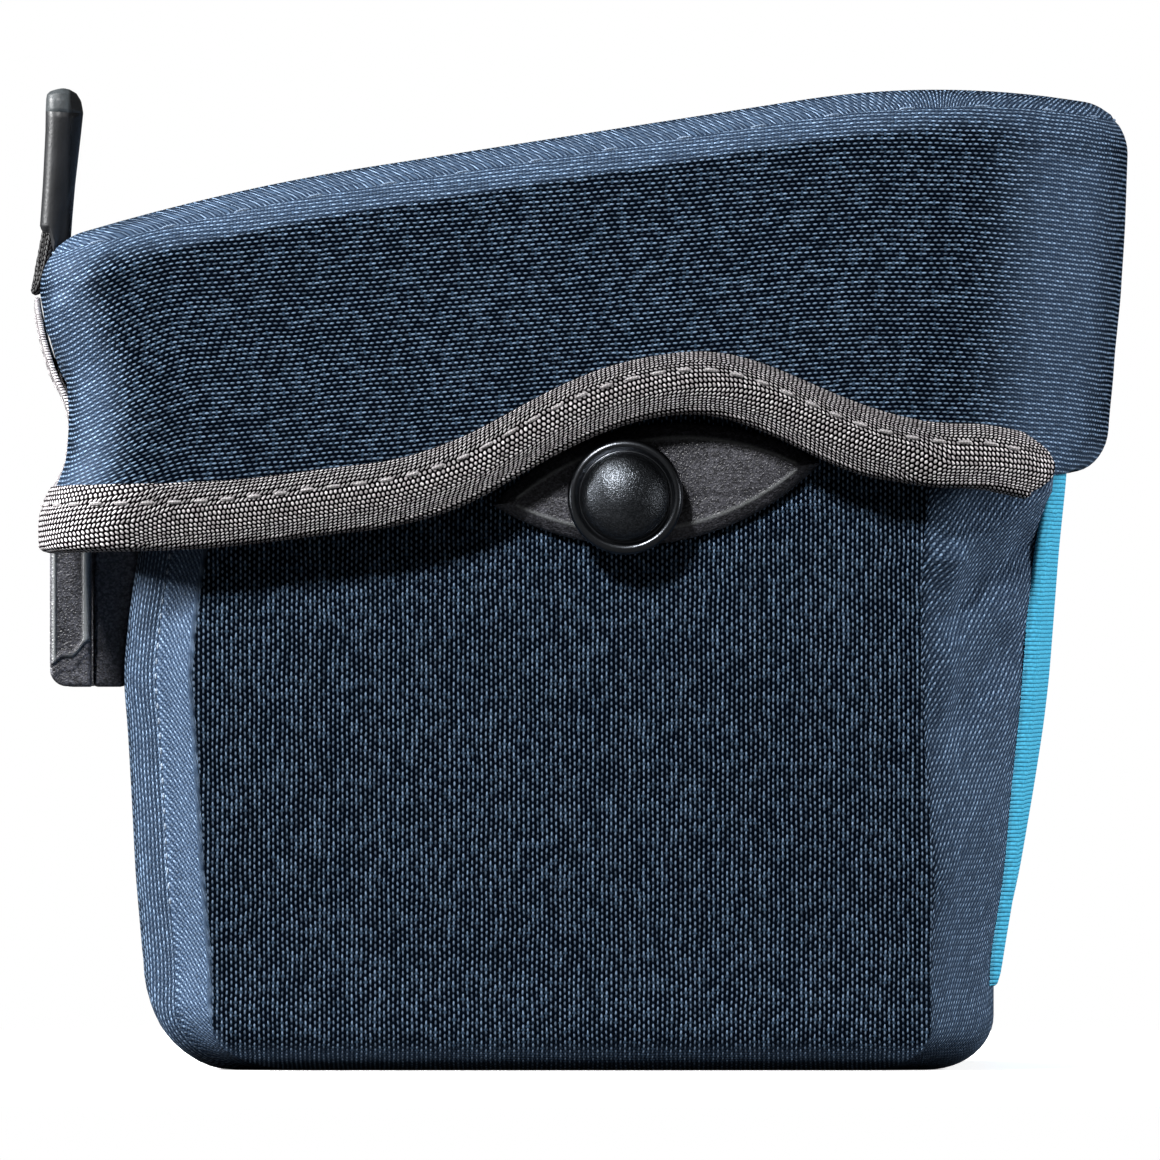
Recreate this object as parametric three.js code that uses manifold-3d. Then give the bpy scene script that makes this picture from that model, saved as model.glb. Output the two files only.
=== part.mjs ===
// A bicycle handlebar bag: a stiffened fabric tub, a fabric lid that hangs over it on all sides, grey tape
// folded over the lid's edge, a bright front panel, a moulded socket on the rider's side, a stud for a
// shoulder strap on each side and a grip on a cord that pulls the lid open.
// Millimetres. X runs from the rider's side to the front, Y to the left, Z up. The origin is the middle of
// the flat base. Lengths called rear are measured backwards from the origin.
import * as THREE from "three";
import { mergeVertices } from "three/addons/utils/BufferGeometryUtils.js";
import Module from "manifold-3d";

const wasm = await Module();
wasm.setup();

// Clearances
const clearance = 0.3; // between two pieces that touch
const lidSeatGap = 0.6; // between the tub's rim and the lid that rests on it

// Tub
const bagHeight = 170; // floor to the highest point of the lid
const bodyLength = 157.6; // rear wall to front corners, where the rear is fullest
const bodyWidth = 212; // side wall to side wall
const bodyWall = 2;
const bodyRearRadius = 12; // upright corners, seen from above
const bodyFrontRadius = 22;
const bodyBelly = 2.6; // how far the middle of the front stands out past its corners
const rearUndercut = { run: 15.6, rise: 19 }; // the rounding between the base and the rear wall
const sideUndercut = { run: 6, rise: 7 };
const frontUndercut = { run: 11.5, rise: 9.5 };

// Front panel
const panelThickness = 1;
const panelBottom = 14.5; // floor to its lower edge
const panelTuck = 8; // how far it runs up behind the lid
const panelRowGap = 3; // its edges keep this far from the rows of points between them

// Lid
const lidWall = 2.4;
const lidSideGap = 7.6; // tub's side wall to the inside of the lid
const lidRearOverhang = 14.4; // past the fullest point of the tub's rear wall
const lidFrontOverhang = 16.3; // past the same length of the tub in front
const lidRearRadius = 15;
const lidFrontRadius = 34;
const lidRearBelly = 2.3;
const lidEdgeRadius = 7.5; // between the lid's walls and its top
const lidSlope = 8.8; // degrees that the top rises towards the front
const lidCrown = 0.9; // how much the top's middle stands above its sides
const lidRearDroop = 4; // how far the top falls below that slope at its rear edge
const lidRearDroopRun = 58;
const lidFrontDroop = 10.5;
const lidFrontDroopRun = 57;

// Lower edge of the lid
const lidRearDepth = 78.7; // the bag's highest point down to the lid's edge at the rear corners
const lidFrontDepth = 66.3; // and down to its edge in front
const sideArchHeight = 17.3;
const sideArchCrest = 17; // how far in front of the origin the side arch is highest
const sideArchRearRun = 55;
const sideArchFrontRun = 50;
const rearArchHeight = 33.2;
const rearArchRun = 80;
const lidTuckHeight = 7.4; // height of the front wall's roll where it turns in to the tub
const tapeWidth = 11;
const tapeThickness = 0.9;
const tapeCorner = 0.6; // share of the tape's thickness left where it folds round the edge

// Strap studs
const studRadius = 10;
const studHeight = 9.4;
const studStemRadius = 5;
const studStemHeight = 2.6;
const studRimThickness = 2.2;
const studDomeRadius = 7.6;
const studBelowArch = 16.8; // crest of the side arch down to the stud's axis
const studBehindArch = 9;
const studPlateLength = 57;
const studPlateHeight = 20.5;
const studPlateThickness = 3;
const studPlateBevel = 1;
const studPlateAhead = 5.4; // the plate's middle lies this far in front of the stud
const studPlateAbove = 2.2; // and this far above it
const studPlateTilt = 7.3; // degrees

// Handlebar bracket's socket
const socketHeight = 39;
const socketWidth = 74;
const socketDepth = 13.2; // from the fullest point of the rear wall to the socket's rear face
const socketBelowArch = 19.4; // crest of the rear arch down to the socket's top
const socketPlateWidth = 68;
const socketRailDepth = 7.2;
const socketTopBar = 8;
const socketEdge = 4; // rounding of its lower corners
const socketSlope = { run: 2.6, rise: 6 }; // bevel on the upper rear corner
const tongueWidth = 48; // free width between the lips of the socket
const lipWidth = 5; // how far each lip reaches over the slot
const lipThickness = 3;
const gripFieldDepth = 0.8; // sunken field on each side of the socket
const gripFieldMargin = 1.2;
const gripFieldBottom = 5;

// Pull and its cord
const pullLength = 25.5;
const pullWidth = 8.6;
const pullThickness = 6.6;
const pullLean = 3.4; // degrees forwards
const cordDiameter = 1.7;
const cordSpread = 1.7; // half the distance between the cord's two strands
const pullBehindRim = 2.7; // the pull's foot lies this far in front of the lid's rear face

const bodyHalf = bodyLength / 2;
const edgeRearHeight = bagHeight - lidRearDepth; // floor to the lid's edge at the rear corners
const edgeFrontHeight = bagHeight - lidFrontDepth;
const radians = THREE.MathUtils.degToRad;
const { lerp, smoothstep } = THREE.MathUtils;

// Steps round half a ring, from the middle of the rear wall by the -Y side to the middle of the front
const rearSteps = 7;
const rearCornerSteps = 4;
const sideSteps = 10;
const frontCornerSteps = 6;
const frontSteps = 4;
const frontCornerStart = rearSteps + rearCornerSteps + sideSteps;
const frontWallStart = frontCornerStart + frontCornerSteps;
const ringSize = 2 * (frontWallStart + frontSteps);
const tapeEnd = frontCornerStart + frontCornerSteps / 2; // the tape runs half way round the front corner

function table(columns, rows) {
  return rows.map((row) => Object.fromEntries(columns.map((name, k) => [name, row[k]])));
}

// The table's columns at that rise, straight between its rows.
function rowAt(rows, rise) {
  const found = rows.findIndex((row) => row.rise > rise);
  const above = found < 0 ? rows.length - 1 : Math.max(found, 1);
  const [a, b] = [rows[above - 1], rows[above]];
  const t = THREE.MathUtils.clamp((rise - a.rise) / (b.rise - a.rise), 0, 1);
  return Object.fromEntries(Object.keys(a).map((name) => [name, lerp(a[name], b[name], t)]));
}

// Rise is a share of the bag's height; rear, front and half are shares of half the tub's length and width,
// and the radii and the belly are shares of their own sizes.
const bodySections = table(
  ["rise", "rear", "front", "half", "rearRadius", "frontRadius", "belly"],
  [
    [0.11, 0.967, 0.91, 0.972, 1.0, 0.5, 0.0],
    [0.2, 0.979, 0.941, 0.98, 1.0, 0.6, 0.4],
    [0.28, 0.986, 0.956, 0.987, 1.0, 0.7, 0.8],
    [0.35, 0.993, 0.975, 0.993, 1.0, 0.8, 0.95],
    [0.4, 1.0, 0.99, 0.997, 1.0, 0.85, 1.0],
    [0.46, 0.988, 1.0, 1.0, 1.0, 0.9, 1.0],
    [0.53, 0.965, 1.018, 1.0, 1.0, 0.95, 0.8],
    [0.61, 0.955, 1.052, 1.0, 1.0, 1.0, 0.3],
    [0.7, 0.95, 1.062, 1.0, 1.0, 1.0, 0.0],
    [1.0, 0.94, 1.075, 1.0, 1.0, 1.0, 0.0],
  ],
);

// Rise is a share of the lid's rear depth, up from its edge at the rear corners. Rear and front are shares
// of the lid's overhangs, and belly is a share of the rear belly.
const lidSections = table(
  ["rise", "rear", "front", "belly"],
  [
    [-0.015, 0.87, 0.74, 0.0],
    [0.05, 0.88, 0.745, 0.0],
    [0.093, 0.86, 0.75, 0.0],
    [0.136, 0.76, 0.76, -0.4],
    [0.179, 0.67, 0.77, -0.9],
    [0.266, 0.65, 0.795, -0.9],
    [0.32, 0.66, 0.82, -0.3],
    [0.374, 0.68, 0.85, 0.9],
    [0.46, 0.88, 0.89, 0.45],
    [0.536, 0.97, 0.92, 0.4],
    [0.59, 1.0, 0.93, 0.2],
    [0.698, 1.0, 0.96, 0.0],
    [0.892, 1.0, 1.0, 0.0],
  ],
);

// 1 at t = 0, 0 at t = 1 and beyond, level at both
function bell(t) {
  return 0.5 * (1 + Math.cos(Math.PI * Math.min(Math.abs(t), 1)));
}

// Points round a rounded rectangle, seen from above anticlockwise, starting behind.
function ring(s) {
  const half = [];
  const rearY = s.half - s.rearRadius;
  const frontY = s.half - s.frontRadius;
  const corner = (x, y, radius, angle) =>
    half.push(new THREE.Vector2(x + radius * Math.cos(angle), y + radius * Math.sin(angle)));
  for (let k = 0; k < rearSteps; k++) {
    const t = k / rearSteps;
    half.push(new THREE.Vector2(-s.rear - s.rearBelly * bell(t), -rearY * t));
  }
  for (let k = 0; k < rearCornerSteps; k++)
    corner(s.rearRadius - s.rear, -rearY, s.rearRadius, Math.PI * (1 + (0.5 * k) / rearCornerSteps));
  for (let k = 0; k < sideSteps; k++) {
    const x = lerp(s.rearRadius - s.rear, s.front - s.frontRadius, k / sideSteps);
    half.push(new THREE.Vector2(x, -s.half));
  }
  for (let k = 0; k < frontCornerSteps; k++)
    corner(s.front - s.frontRadius, -frontY, s.frontRadius, Math.PI * (1.5 + (0.5 * k) / frontCornerSteps));
  for (let k = 0; k <= frontSteps; k++) {
    const t = 1 - k / frontSteps;
    half.push(new THREE.Vector2(s.front + s.frontBelly * bell(t), -frontY * t));
  }
  const back = half.slice(1, -1).reverse();
  return half.concat(back.map((p) => new THREE.Vector2(p.x, -p.y)));
}

// A ring's point at each index, with its own height: outlineAt(z) gives the section at that height.
function ringPoint(outlineAt, index, z) {
  const p = ring(outlineAt(z))[index];
  return new THREE.Vector3(p.x, p.y, z);
}

function bodyOutline(z) {
  const row = rowAt(bodySections, z / bagHeight);
  return {
    rear: row.rear * bodyHalf,
    front: row.front * bodyHalf,
    half: (row.half * bodyWidth) / 2,
    rearRadius: row.rearRadius * bodyRearRadius,
    frontRadius: row.frontRadius * bodyFrontRadius,
    rearBelly: 0,
    frontBelly: row.belly * bodyBelly,
  };
}

const lidHalf = bodyWidth / 2 + lidSideGap + lidWall;

function lidOutline(z) {
  const row = rowAt(lidSections, (z - edgeRearHeight) / lidRearDepth);
  return {
    rear: bodyHalf + row.rear * lidRearOverhang,
    front: bodyHalf + row.front * lidFrontOverhang,
    half: lidHalf,
    rearRadius: lidRearRadius,
    frontRadius: lidFrontRadius,
    rearBelly: row.belly * lidRearBelly,
    frontBelly: 0,
  };
}

// The same outline with its walls moved in by d.
function inset(s, d) {
  return {
    ...s,
    rear: s.rear - d,
    front: s.front - d,
    half: s.half - d,
    rearRadius: s.rearRadius - d,
    frontRadius: s.frontRadius - d,
  };
}

// The lid's top: a straight slope that droops towards both ends and from the middle to the sides.
const lidRear = bodyHalf + lidRearOverhang;
const lidFront = bodyHalf + lidFrontOverhang;
const slope = Math.tan(radians(lidSlope));

// The top is highest this far in front of the place where the front droop starts.
const peakRun = (slope * lidFrontDroopRun ** 2) / (2 * lidFrontDroop);
const peakDroop = lidFrontDroop * (peakRun / lidFrontDroopRun) ** 2;
const peakRise = slope * (lidFront - lidFrontDroopRun + peakRun) - peakDroop;

function lidTop(x, y) {
  const behind = Math.max(0, lidRearDroopRun - lidRear - x) / lidRearDroopRun;
  const ahead = Math.max(0, x - lidFront + lidFrontDroopRun) / lidFrontDroopRun;
  const droop = lidRearDroop * behind ** 2 + lidFrontDroop * ahead ** 2;
  return bagHeight - peakRise + slope * x - droop - lidCrown * (y / lidHalf) ** 2;
}

// Height of the lid's lower edge: it rises to the front and arches over each stud and over the socket.
function lidEdge(x, y) {
  const base = lerp(edgeRearHeight, edgeFrontHeight, (x + lidRear) / (lidFront + lidRear));
  const ahead = x - sideArchCrest;
  const side = sideArchHeight * bell(ahead / (ahead < 0 ? sideArchRearRun : sideArchFrontRun));
  const rear = x < 0 ? rearArchHeight * bell(y / rearArchRun) : 0;
  return base + side + rear;
}

// Solids from grids of points

function geometryOf(points, triangles) {
  const geometry = new THREE.BufferGeometry();
  const places = points.flatMap((p) => [p.x, p.y, p.z]);
  geometry.setAttribute("position", new THREE.Float32BufferAttribute(places, 3));
  geometry.setIndex(triangles);
  geometry.computeVertexNormals();
  return geometry;
}

// The level direction that faces out of a ring at one of its points
function levelNormal(row, index) {
  const along = row[(index + 1) % ringSize].clone().sub(row[(index + ringSize - 1) % ringSize]);
  return new THREE.Vector3(along.y, -along.x, 0).normalize();
}

// Normals of a rounded stretch between two walls or a wall and a flat: rows run up or inwards.
function roundNormal(rows, j, index) {
  const row = rows[j];
  const along = row[(index + 1) % ringSize].clone().sub(row[(index + ringSize - 1) % ringSize]);
  const up = rows[Math.min(j + 1, rows.length - 1)][index].clone().sub(rows[Math.max(j - 1, 0)][index]);
  return along.cross(up).normalize();
}

function moved(rows, normals, distance) {
  return rows.map((row, j) => row.map((p, i) => p.clone().addScaledVector(normals[j][i], distance)));
}

// A hollow shell: rows of rings, one end open and the other closed on a middle point.
function shell(rows, normals, wall, closedFirst) {
  const inner = moved(rows, normals, -wall);
  const n = rows[0].length;
  const count = rows.length;
  const points = [...rows.flat(), ...inner.flat()];
  const triangles = [];
  const at = (side, j, i) => side * count * n + j * n + (i % n);
  const quad = (a, b, c, d) => triangles.push(a, b, c, a, c, d);
  for (let j = 0; j + 1 < count; j++)
    for (let i = 0; i < n; i++) {
      quad(at(0, j, i), at(0, j, i + 1), at(0, j + 1, i + 1), at(0, j + 1, i));
      quad(at(1, j, i), at(1, j + 1, i), at(1, j + 1, i + 1), at(1, j, i + 1));
    }
  const closed = closedFirst ? 0 : count - 1;
  const open = count - 1 - closed;
  [rows, inner].forEach((grid, side) => {
    const middle = grid[closed].reduce((sum, p) => sum.add(p), new THREE.Vector3()).divideScalar(n);
    const pole = points.push(middle) - 1;
    const facing = Boolean(side) !== closedFirst;
    for (let i = 0; i < n; i++) {
      const [a, b] = [at(side, closed, i), at(side, closed, i + 1)];
      triangles.push(pole, ...(facing ? [b, a] : [a, b]));
    }
  });
  for (let i = 0; i < n; i++) {
    const [a, b, c, d] = [at(0, open, i), at(0, open, i + 1), at(1, open, i + 1), at(1, open, i)];
    if (closedFirst) quad(a, b, c, d);
    else quad(d, c, b, a);
  }
  return geometryOf(points, triangles);
}

// A closed slab between two open grids, whose rows run along it and whose columns run across it. The first
// columns, as many as turned says, are split along the other diagonal.
function slab(face, back, turned = 0) {
  const [rows, columns] = [face.length, face[0].length];
  const points = [...face.flat(), ...back.flat()];
  const triangles = [];
  const at = (side, j, i) => side * rows * columns + j * columns + i;
  const quad = (a, b, c, d) => triangles.push(a, b, c, a, c, d);
  const last = columns - 1;
  for (let j = 0; j + 1 < rows; j++)
    for (let i = 0; i < last; i++) {
      const around = [at(0, j, i), at(0, j, i + 1), at(0, j + 1, i + 1), at(0, j + 1, i)];
      const behind = [at(1, j, i), at(1, j + 1, i), at(1, j + 1, i + 1), at(1, j, i + 1)];
      if (i < turned) {
        around.push(around.shift());
        behind.push(behind.shift());
      }
      quad(...around);
      quad(...behind);
    }
  for (let i = 0; i < last; i++) {
    quad(at(0, 0, i), at(1, 0, i), at(1, 0, i + 1), at(0, 0, i + 1));
    quad(at(0, rows - 1, i), at(0, rows - 1, i + 1), at(1, rows - 1, i + 1), at(1, rows - 1, i));
  }
  for (let j = 0; j + 1 < rows; j++) {
    quad(at(0, j, 0), at(0, j + 1, 0), at(1, j + 1, 0), at(1, j, 0));
    quad(at(0, j, last), at(1, j, last), at(1, j + 1, last), at(0, j + 1, last));
  }
  return geometryOf(points, triangles);
}

// A solid lofted through closed sections, with flat ends.
function loft(sections) {
  const n = sections[0].length;
  const points = sections.flat();
  const triangles = [];
  for (let j = 0; j + 1 < sections.length; j++)
    for (let i = 0; i < n; i++) {
      const [a, b] = [j * n + i, j * n + ((i + 1) % n)];
      triangles.push(a, b, b + n, a, b + n, a + n);
    }
  const last = (sections.length - 1) * n;
  for (let i = 1; i + 1 < n; i++) triangles.push(0, i + 1, i, last, last + i, last + i + 1);
  return geometryOf(points, triangles);
}

function manifoldOf(geometry) {
  const bare = new THREE.BufferGeometry();
  bare.setAttribute("position", geometry.getAttribute("position"));
  if (geometry.index) bare.setIndex(geometry.index);
  const merged = mergeVertices(bare, 1e-4);
  return new wasm.Manifold(
    new wasm.Mesh({
      numProp: 3,
      vertProperties: new Float32Array(merged.getAttribute("position").array),
      triVerts: new Uint32Array(merged.index.array),
    }),
  );
}

function geometryOfManifold(manifold) {
  const mesh = manifold.getMesh();
  const geometry = new THREE.BufferGeometry();
  geometry.setAttribute("position", new THREE.BufferAttribute(mesh.vertProperties, 3));
  geometry.setIndex(new THREE.BufferAttribute(mesh.triVerts, 1));
  geometry.computeVertexNormals();
  return geometry;
}

// Materials, from the photograph's colours
const navyCloth = new THREE.MeshStandardMaterial({ color: 0x2b3d55, roughness: 0.85, metalness: 0 });
const skyCloth = new THREE.MeshStandardMaterial({ color: 0x4fb0d8, roughness: 0.8, metalness: 0 });
const greyTape = new THREE.MeshStandardMaterial({ color: 0x8d8a8c, roughness: 0.8, metalness: 0 });
const mattBlack = new THREE.MeshStandardMaterial({ color: 0x2e2e32, roughness: 0.55, metalness: 0 });
const glossBlack = new THREE.MeshStandardMaterial({ color: 0x111113, roughness: 0.2, metalness: 0 });
const pullRubber = new THREE.MeshStandardMaterial({ color: 0x3a3b3d, roughness: 0.6, metalness: 0 });
const cordBlack = new THREE.MeshStandardMaterial({ color: 0x1c1b1c, roughness: 0.8, metalness: 0 });

// Tub

const undercuts = [0, 25, 50, 72, 90].map(radians); // angles round the rounding under the walls

// How high the undercut reaches at a point of the ring, by which way the wall faces there
function undercutRise(index) {
  const points = ring(bodyOutline(0));
  const along = points[(index + 1) % ringSize].clone().sub(points[(index + ringSize - 1) % ringSize]);
  const ahead = along.normalize().y;
  const end = ahead > 0 ? frontUndercut : rearUndercut;
  return lerp(sideUndercut.rise, end.rise, ahead ** 2);
}

function undercutOutline(share) {
  const s = bodyOutline(0);
  return {
    ...s,
    rear: s.rear - rearUndercut.run * share,
    front: s.front - frontUndercut.run * share,
    half: s.half - sideUndercut.run * share,
  };
}

// The underside of the lid above a point of the tub, less the seat's gap
function rimHeight(x, y) {
  return lidTop(x, y) - lidWall / Math.cos(radians(lidSlope)) - lidSeatGap;
}

const bodyRises = bodySections.slice(1, -1).map((row) => row.rise * bagHeight);

function bodyRows() {
  const rows = undercuts.map((angle) =>
    ring(undercutOutline(1 - Math.sin(angle))).map(
      (p, i) => new THREE.Vector3(p.x, p.y, undercutRise(i) * (1 - Math.cos(angle))),
    ),
  );
  bodyRises.forEach((z) => rows.push(ring(bodyOutline(z)).map((p) => new THREE.Vector3(p.x, p.y, z))));
  const top = ring(bodyOutline(bagHeight));
  rows.push(top.map((p) => new THREE.Vector3(p.x, p.y, rimHeight(p.x, p.y))));
  return rows;
}

const body = bodyRows();
const bodyNormals = body.map((row, j) =>
  row.map((p, i) => (j < undercuts.length - 1 ? roundNormal(body, j, i) : levelNormal(row, i))),
);

// The point of the tub's outer wall at that height, on the upright line of one ring index
function onBody(index, z) {
  const line = body.map((row) => row[index]);
  const k = Math.max(1, line.findIndex((p) => p.z >= z));
  return line[k - 1].clone().lerp(line[k], (z - line[k - 1].z) / (line[k].z - line[k - 1].z));
}

// Lid

// 0 beside the tape's end, 1 across the front, where the wall rolls in under itself to meet the tub
function tuckShare(index) {
  const fromRear = Math.min(index, ringSize - index);
  return smoothstep(fromRear, tapeEnd, tapeEnd + 2);
}

const panelTop = edgeFrontHeight + panelTuck;

function frontFace(z) {
  const s = bodyOutline(z);
  return s.front + s.frontBelly + clearance + panelThickness;
}

const tuckDepth = lidOutline(edgeFrontHeight).front - frontFace(edgeFrontHeight + lidWall) - clearance;
const wallShares = [0.25, 0.45, 0.65, 0.83, 1]; // rows between the tape and the top's rounding
const tuckAngles = [0, 25, 50, 75].map(radians); // round the roll, from its foot
const edgeAngles = [30, 60, 90].map(radians);
const topShares = [0.8, 0.45];
const tapeRow = tuckAngles.length; // the lid's row at the top of the tape

function lidRows() {
  const indices = [...Array(ringSize).keys()];
  const foot = indices.map((i) => {
    const p = ringPoint(lidOutline, i, edgeRearHeight);
    return lidEdge(p.x, p.y);
  });
  const head = indices.map((i) => {
    const p = ringPoint(lidOutline, i, bagHeight);
    return lidTop(p.x, p.y) - lidEdgeRadius;
  });
  const rolled = (i, angle) => {
    const z = foot[i] + lidTuckHeight * (1 - Math.cos(angle));
    const p = ring(inset(lidOutline(z), tuckShare(i) * tuckDepth * (1 - Math.sin(angle))))[i];
    return new THREE.Vector3(p.x, p.y, z);
  };
  const rows = tuckAngles.map((angle) => indices.map((i) => rolled(i, angle)));
  [0, ...wallShares].forEach((share) =>
    rows.push(indices.map((i) => ringPoint(lidOutline, i, lerp(foot[i] + tapeWidth, head[i], share)))),
  );
  edgeAngles.forEach((angle) =>
    rows.push(
      indices.map((i) => {
        const p = ring(inset(lidOutline(head[i]), lidEdgeRadius * (1 - Math.cos(angle))))[i];
        return new THREE.Vector3(p.x, p.y, lidTop(p.x, p.y) - lidEdgeRadius * (1 - Math.sin(angle)));
      }),
    ),
  );
  const brim = rows.at(-1);
  const onTop = (x, y) => new THREE.Vector3(x, y, lidTop(x, y));
  topShares.forEach((share) => rows.push(brim.map((p) => onTop(p.x * share, p.y * share))));
  return rows;
}

const lid = lidRows();

// The walls face level outwards, but the roll's foot faces straight down.
const lidNormals = lid.map((row, j) =>
  row.map((p, i) => {
    if (j > tapeRow + wallShares.length) return roundNormal(lid, j, i);
    if (j >= tapeRow) return levelNormal(row, i);
    const level = lidTuckHeight * (1 - tuckShare(i) * (1 - Math.sin(tuckAngles[j])));
    const down = tuckShare(i) * tuckDepth * Math.cos(tuckAngles[j]);
    return levelNormal(row, i).multiplyScalar(level).setZ(-down).normalize();
  }),
);

// Tape: a strip folded up both sides of the lid's edge, from one front corner round the back to the other
function tape() {
  const face = [];
  const back = [];
  for (let k = -tapeEnd; k <= tapeEnd; k++) {
    const i = (k + ringSize) % ringSize;
    const place = (j, out, down) => {
      const p = lid[j][i].clone().addScaledVector(lidNormals[j][i], out);
      return p.setZ(p.z - down);
    };
    const line = (gap) => {
      const points = [];
      for (let j = tapeRow; j >= 0; j--) points.push(place(j, gap, 0));
      points.push(place(0, gap * tapeCorner, gap), place(0, -lidWall - gap * tapeCorner, gap));
      for (let j = 0; j <= tapeRow; j++) points.push(place(j, -lidWall - gap, 0));
      return points;
    };
    face.push(line(clearance + tapeThickness));
    back.push(line(clearance));
  }
  return slab(face, back, tapeRow);
}

// Front panel, laid over the tub's front wall
function frontPanel() {
  const between = bodyRises.filter((z) => z > panelBottom + panelRowGap && z < panelTop - panelRowGap);
  const heights = [panelBottom, ...between, panelTop];
  const indices = [];
  for (let i = frontWallStart; i <= ringSize - frontWallStart; i++) indices.push(i);
  const grid = (out) =>
    heights.map((z) =>
      indices.map((i) => {
        const above = body.findIndex((row) => row[i].z >= z);
        return onBody(i, z).addScaledVector(bodyNormals[above][i], out);
      }),
    );
  return slab(grid(clearance + panelThickness), grid(clearance));
}

// Strap studs

const studX = sideArchCrest - studBehindArch;
const studZ = lidEdge(sideArchCrest, lidHalf) - studBelowArch;
const studWall = bodyWidth / 2 + clearance; // where the plate's back lies
const studFace = studWall + studPlateThickness;

// A leaf shape: two arcs through the same two points, with a bevel round its outer face
function studPlate() {
  const chord = studPlateLength / 2 - studPlateBevel;
  const rise = studPlateHeight / 2 - studPlateBevel;
  const radius = (chord ** 2 + rise ** 2) / (2 * rise);
  const angle = Math.asin(chord / radius);
  const outline = new THREE.Shape();
  outline.absarc(0, rise - radius, radius, Math.PI / 2 - angle, Math.PI / 2 + angle, false);
  outline.absarc(0, radius - rise, radius, 1.5 * Math.PI - angle, 1.5 * Math.PI + angle, false);
  return new THREE.ExtrudeGeometry(outline, {
    depth: studPlateThickness - 2 * studPlateBevel,
    bevelEnabled: true,
    bevelThickness: studPlateBevel,
    bevelSize: studPlateBevel,
    bevelSegments: 1,
    curveSegments: 7,
  }).translate(0, 0, studPlateBevel);
}

// A stem, a round-edged rim and a domed head, turned about the stud's axis
function studKnob() {
  const round = studRimThickness / 2;
  const rimTop = studStemHeight + studRimThickness;
  const profile = [
    [0, 0],
    [studStemRadius, 0],
    [studStemRadius, studStemHeight],
  ];
  for (let k = 0; k <= 4; k++) {
    const angle = Math.PI * (k / 4 - 0.5);
    profile.push([studRadius - round + round * Math.cos(angle), rimTop - round + round * Math.sin(angle)]);
  }
  for (let k = 0; k < 5; k++) {
    const angle = (Math.PI / 2) * (k / 5);
    profile.push([studDomeRadius * Math.cos(angle), lerp(rimTop, studHeight, Math.sin(angle))]);
  }
  profile.push([0, studHeight]);
  return new THREE.LatheGeometry(profile.map(([r, h]) => new THREE.Vector2(r, h)), 16);
}

// Handlebar bracket's socket

const socketTop = lidEdge(-lidRear, 0) - socketBelowArch;
const socketBottom = socketTop - socketHeight;
const socketRear = bodyHalf + socketDepth;
const railFront = socketRear - socketRailDepth;

// Extrudes an outline drawn in X and Z evenly to both sides of the middle plane.
function acrossBag(outline, width) {
  const options = { depth: width, bevelEnabled: false, curveSegments: 5 };
  return new THREE.ExtrudeGeometry(outline, options).rotateX(Math.PI / 2).translate(0, width / 2, 0);
}

// A back plate whose front follows the tub's rear wall
function socketPlate() {
  const outline = new THREE.Shape();
  const outer = -(railFront - clearance);
  outline.moveTo(outer, socketBottom);
  outline.lineTo(outer, socketTop);
  const between = bodyRises.filter((z) => z > socketBottom && z < socketTop).reverse();
  [socketTop, ...between, socketBottom].forEach((z) => outline.lineTo(onBody(0, z).x - clearance, z));
  return acrossBag(outline, socketPlateWidth);
}

function box(low, high) {
  const size = high.map((v, k) => v - low[k]);
  return manifoldOf(new THREE.BoxGeometry(...size).translate(...low.map((v, k) => v + size[k] / 2)));
}

// Two rails joined by a bar at the top, with lips over the slot that the bracket's tongue slides up into
function socketRails() {
  const outline = new THREE.Shape();
  outline.moveTo(-railFront, socketTop);
  outline.lineTo(-socketRear + socketSlope.run, socketTop);
  outline.lineTo(-socketRear, socketTop - socketSlope.rise);
  outline.lineTo(-socketRear, socketBottom + socketEdge);
  const edgeX = -socketRear + socketEdge;
  outline.absarc(edgeX, socketBottom + socketEdge, socketEdge, Math.PI, 1.5 * Math.PI, false);
  outline.lineTo(-railFront, socketBottom);
  const slotTop = socketTop - socketTopBar;
  const past = 1; // each cut runs this far past the solid
  const mouth = box(
    [-socketRear - past, -tongueWidth / 2, socketBottom - past],
    [-railFront + past, tongueWidth / 2, slotTop],
  );
  const slotHalf = tongueWidth / 2 + lipWidth;
  const slot = box(
    [-socketRear + lipThickness, -slotHalf, socketBottom - past],
    [-railFront + past, slotHalf, slotTop],
  );
  let rails = manifoldOf(acrossBag(outline, socketWidth)).subtract(mouth).subtract(slot);
  const fieldBottom = socketBottom + gripFieldBottom;
  const fieldTop = socketTop - socketSlope.rise - gripFieldMargin;
  for (const side of [-1, 1]) {
    const near = (side * socketWidth) / 2 - side * gripFieldDepth;
    const beyond = side * (socketWidth / 2 + past);
    rails = rails.subtract(
      box(
        [-socketRear + gripFieldMargin, Math.min(near, beyond), fieldBottom],
        [-railFront - gripFieldMargin, Math.max(near, beyond), fieldTop],
      ),
    );
  }
  return geometryOfManifold(rails);
}

// Pull and its cord

// Rise is a share of the pull's length, thickness and width are shares of its own, and shift moves a
// section backwards by a share of the thickness.
const pullSections = table(
  ["rise", "thickness", "width", "shift"],
  [
    [0.0, 0.7, 0.7, 0.06],
    [0.05, 0.84, 0.9, 0.05],
    [0.35, 0.86, 0.95, 0.03],
    [0.7, 0.95, 1.0, 0.0],
    [0.84, 1.0, 1.0, 0.0],
    [0.92, 0.93, 0.95, 0.04],
    [0.97, 0.78, 0.8, 0.1],
    [1.0, 0.5, 0.5, 0.16],
  ],
);

const pullX = -lidRear + pullBehindRim;
const pullFoot = lidTop(pullX + pullThickness / 2, 0) + clearance;

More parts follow.
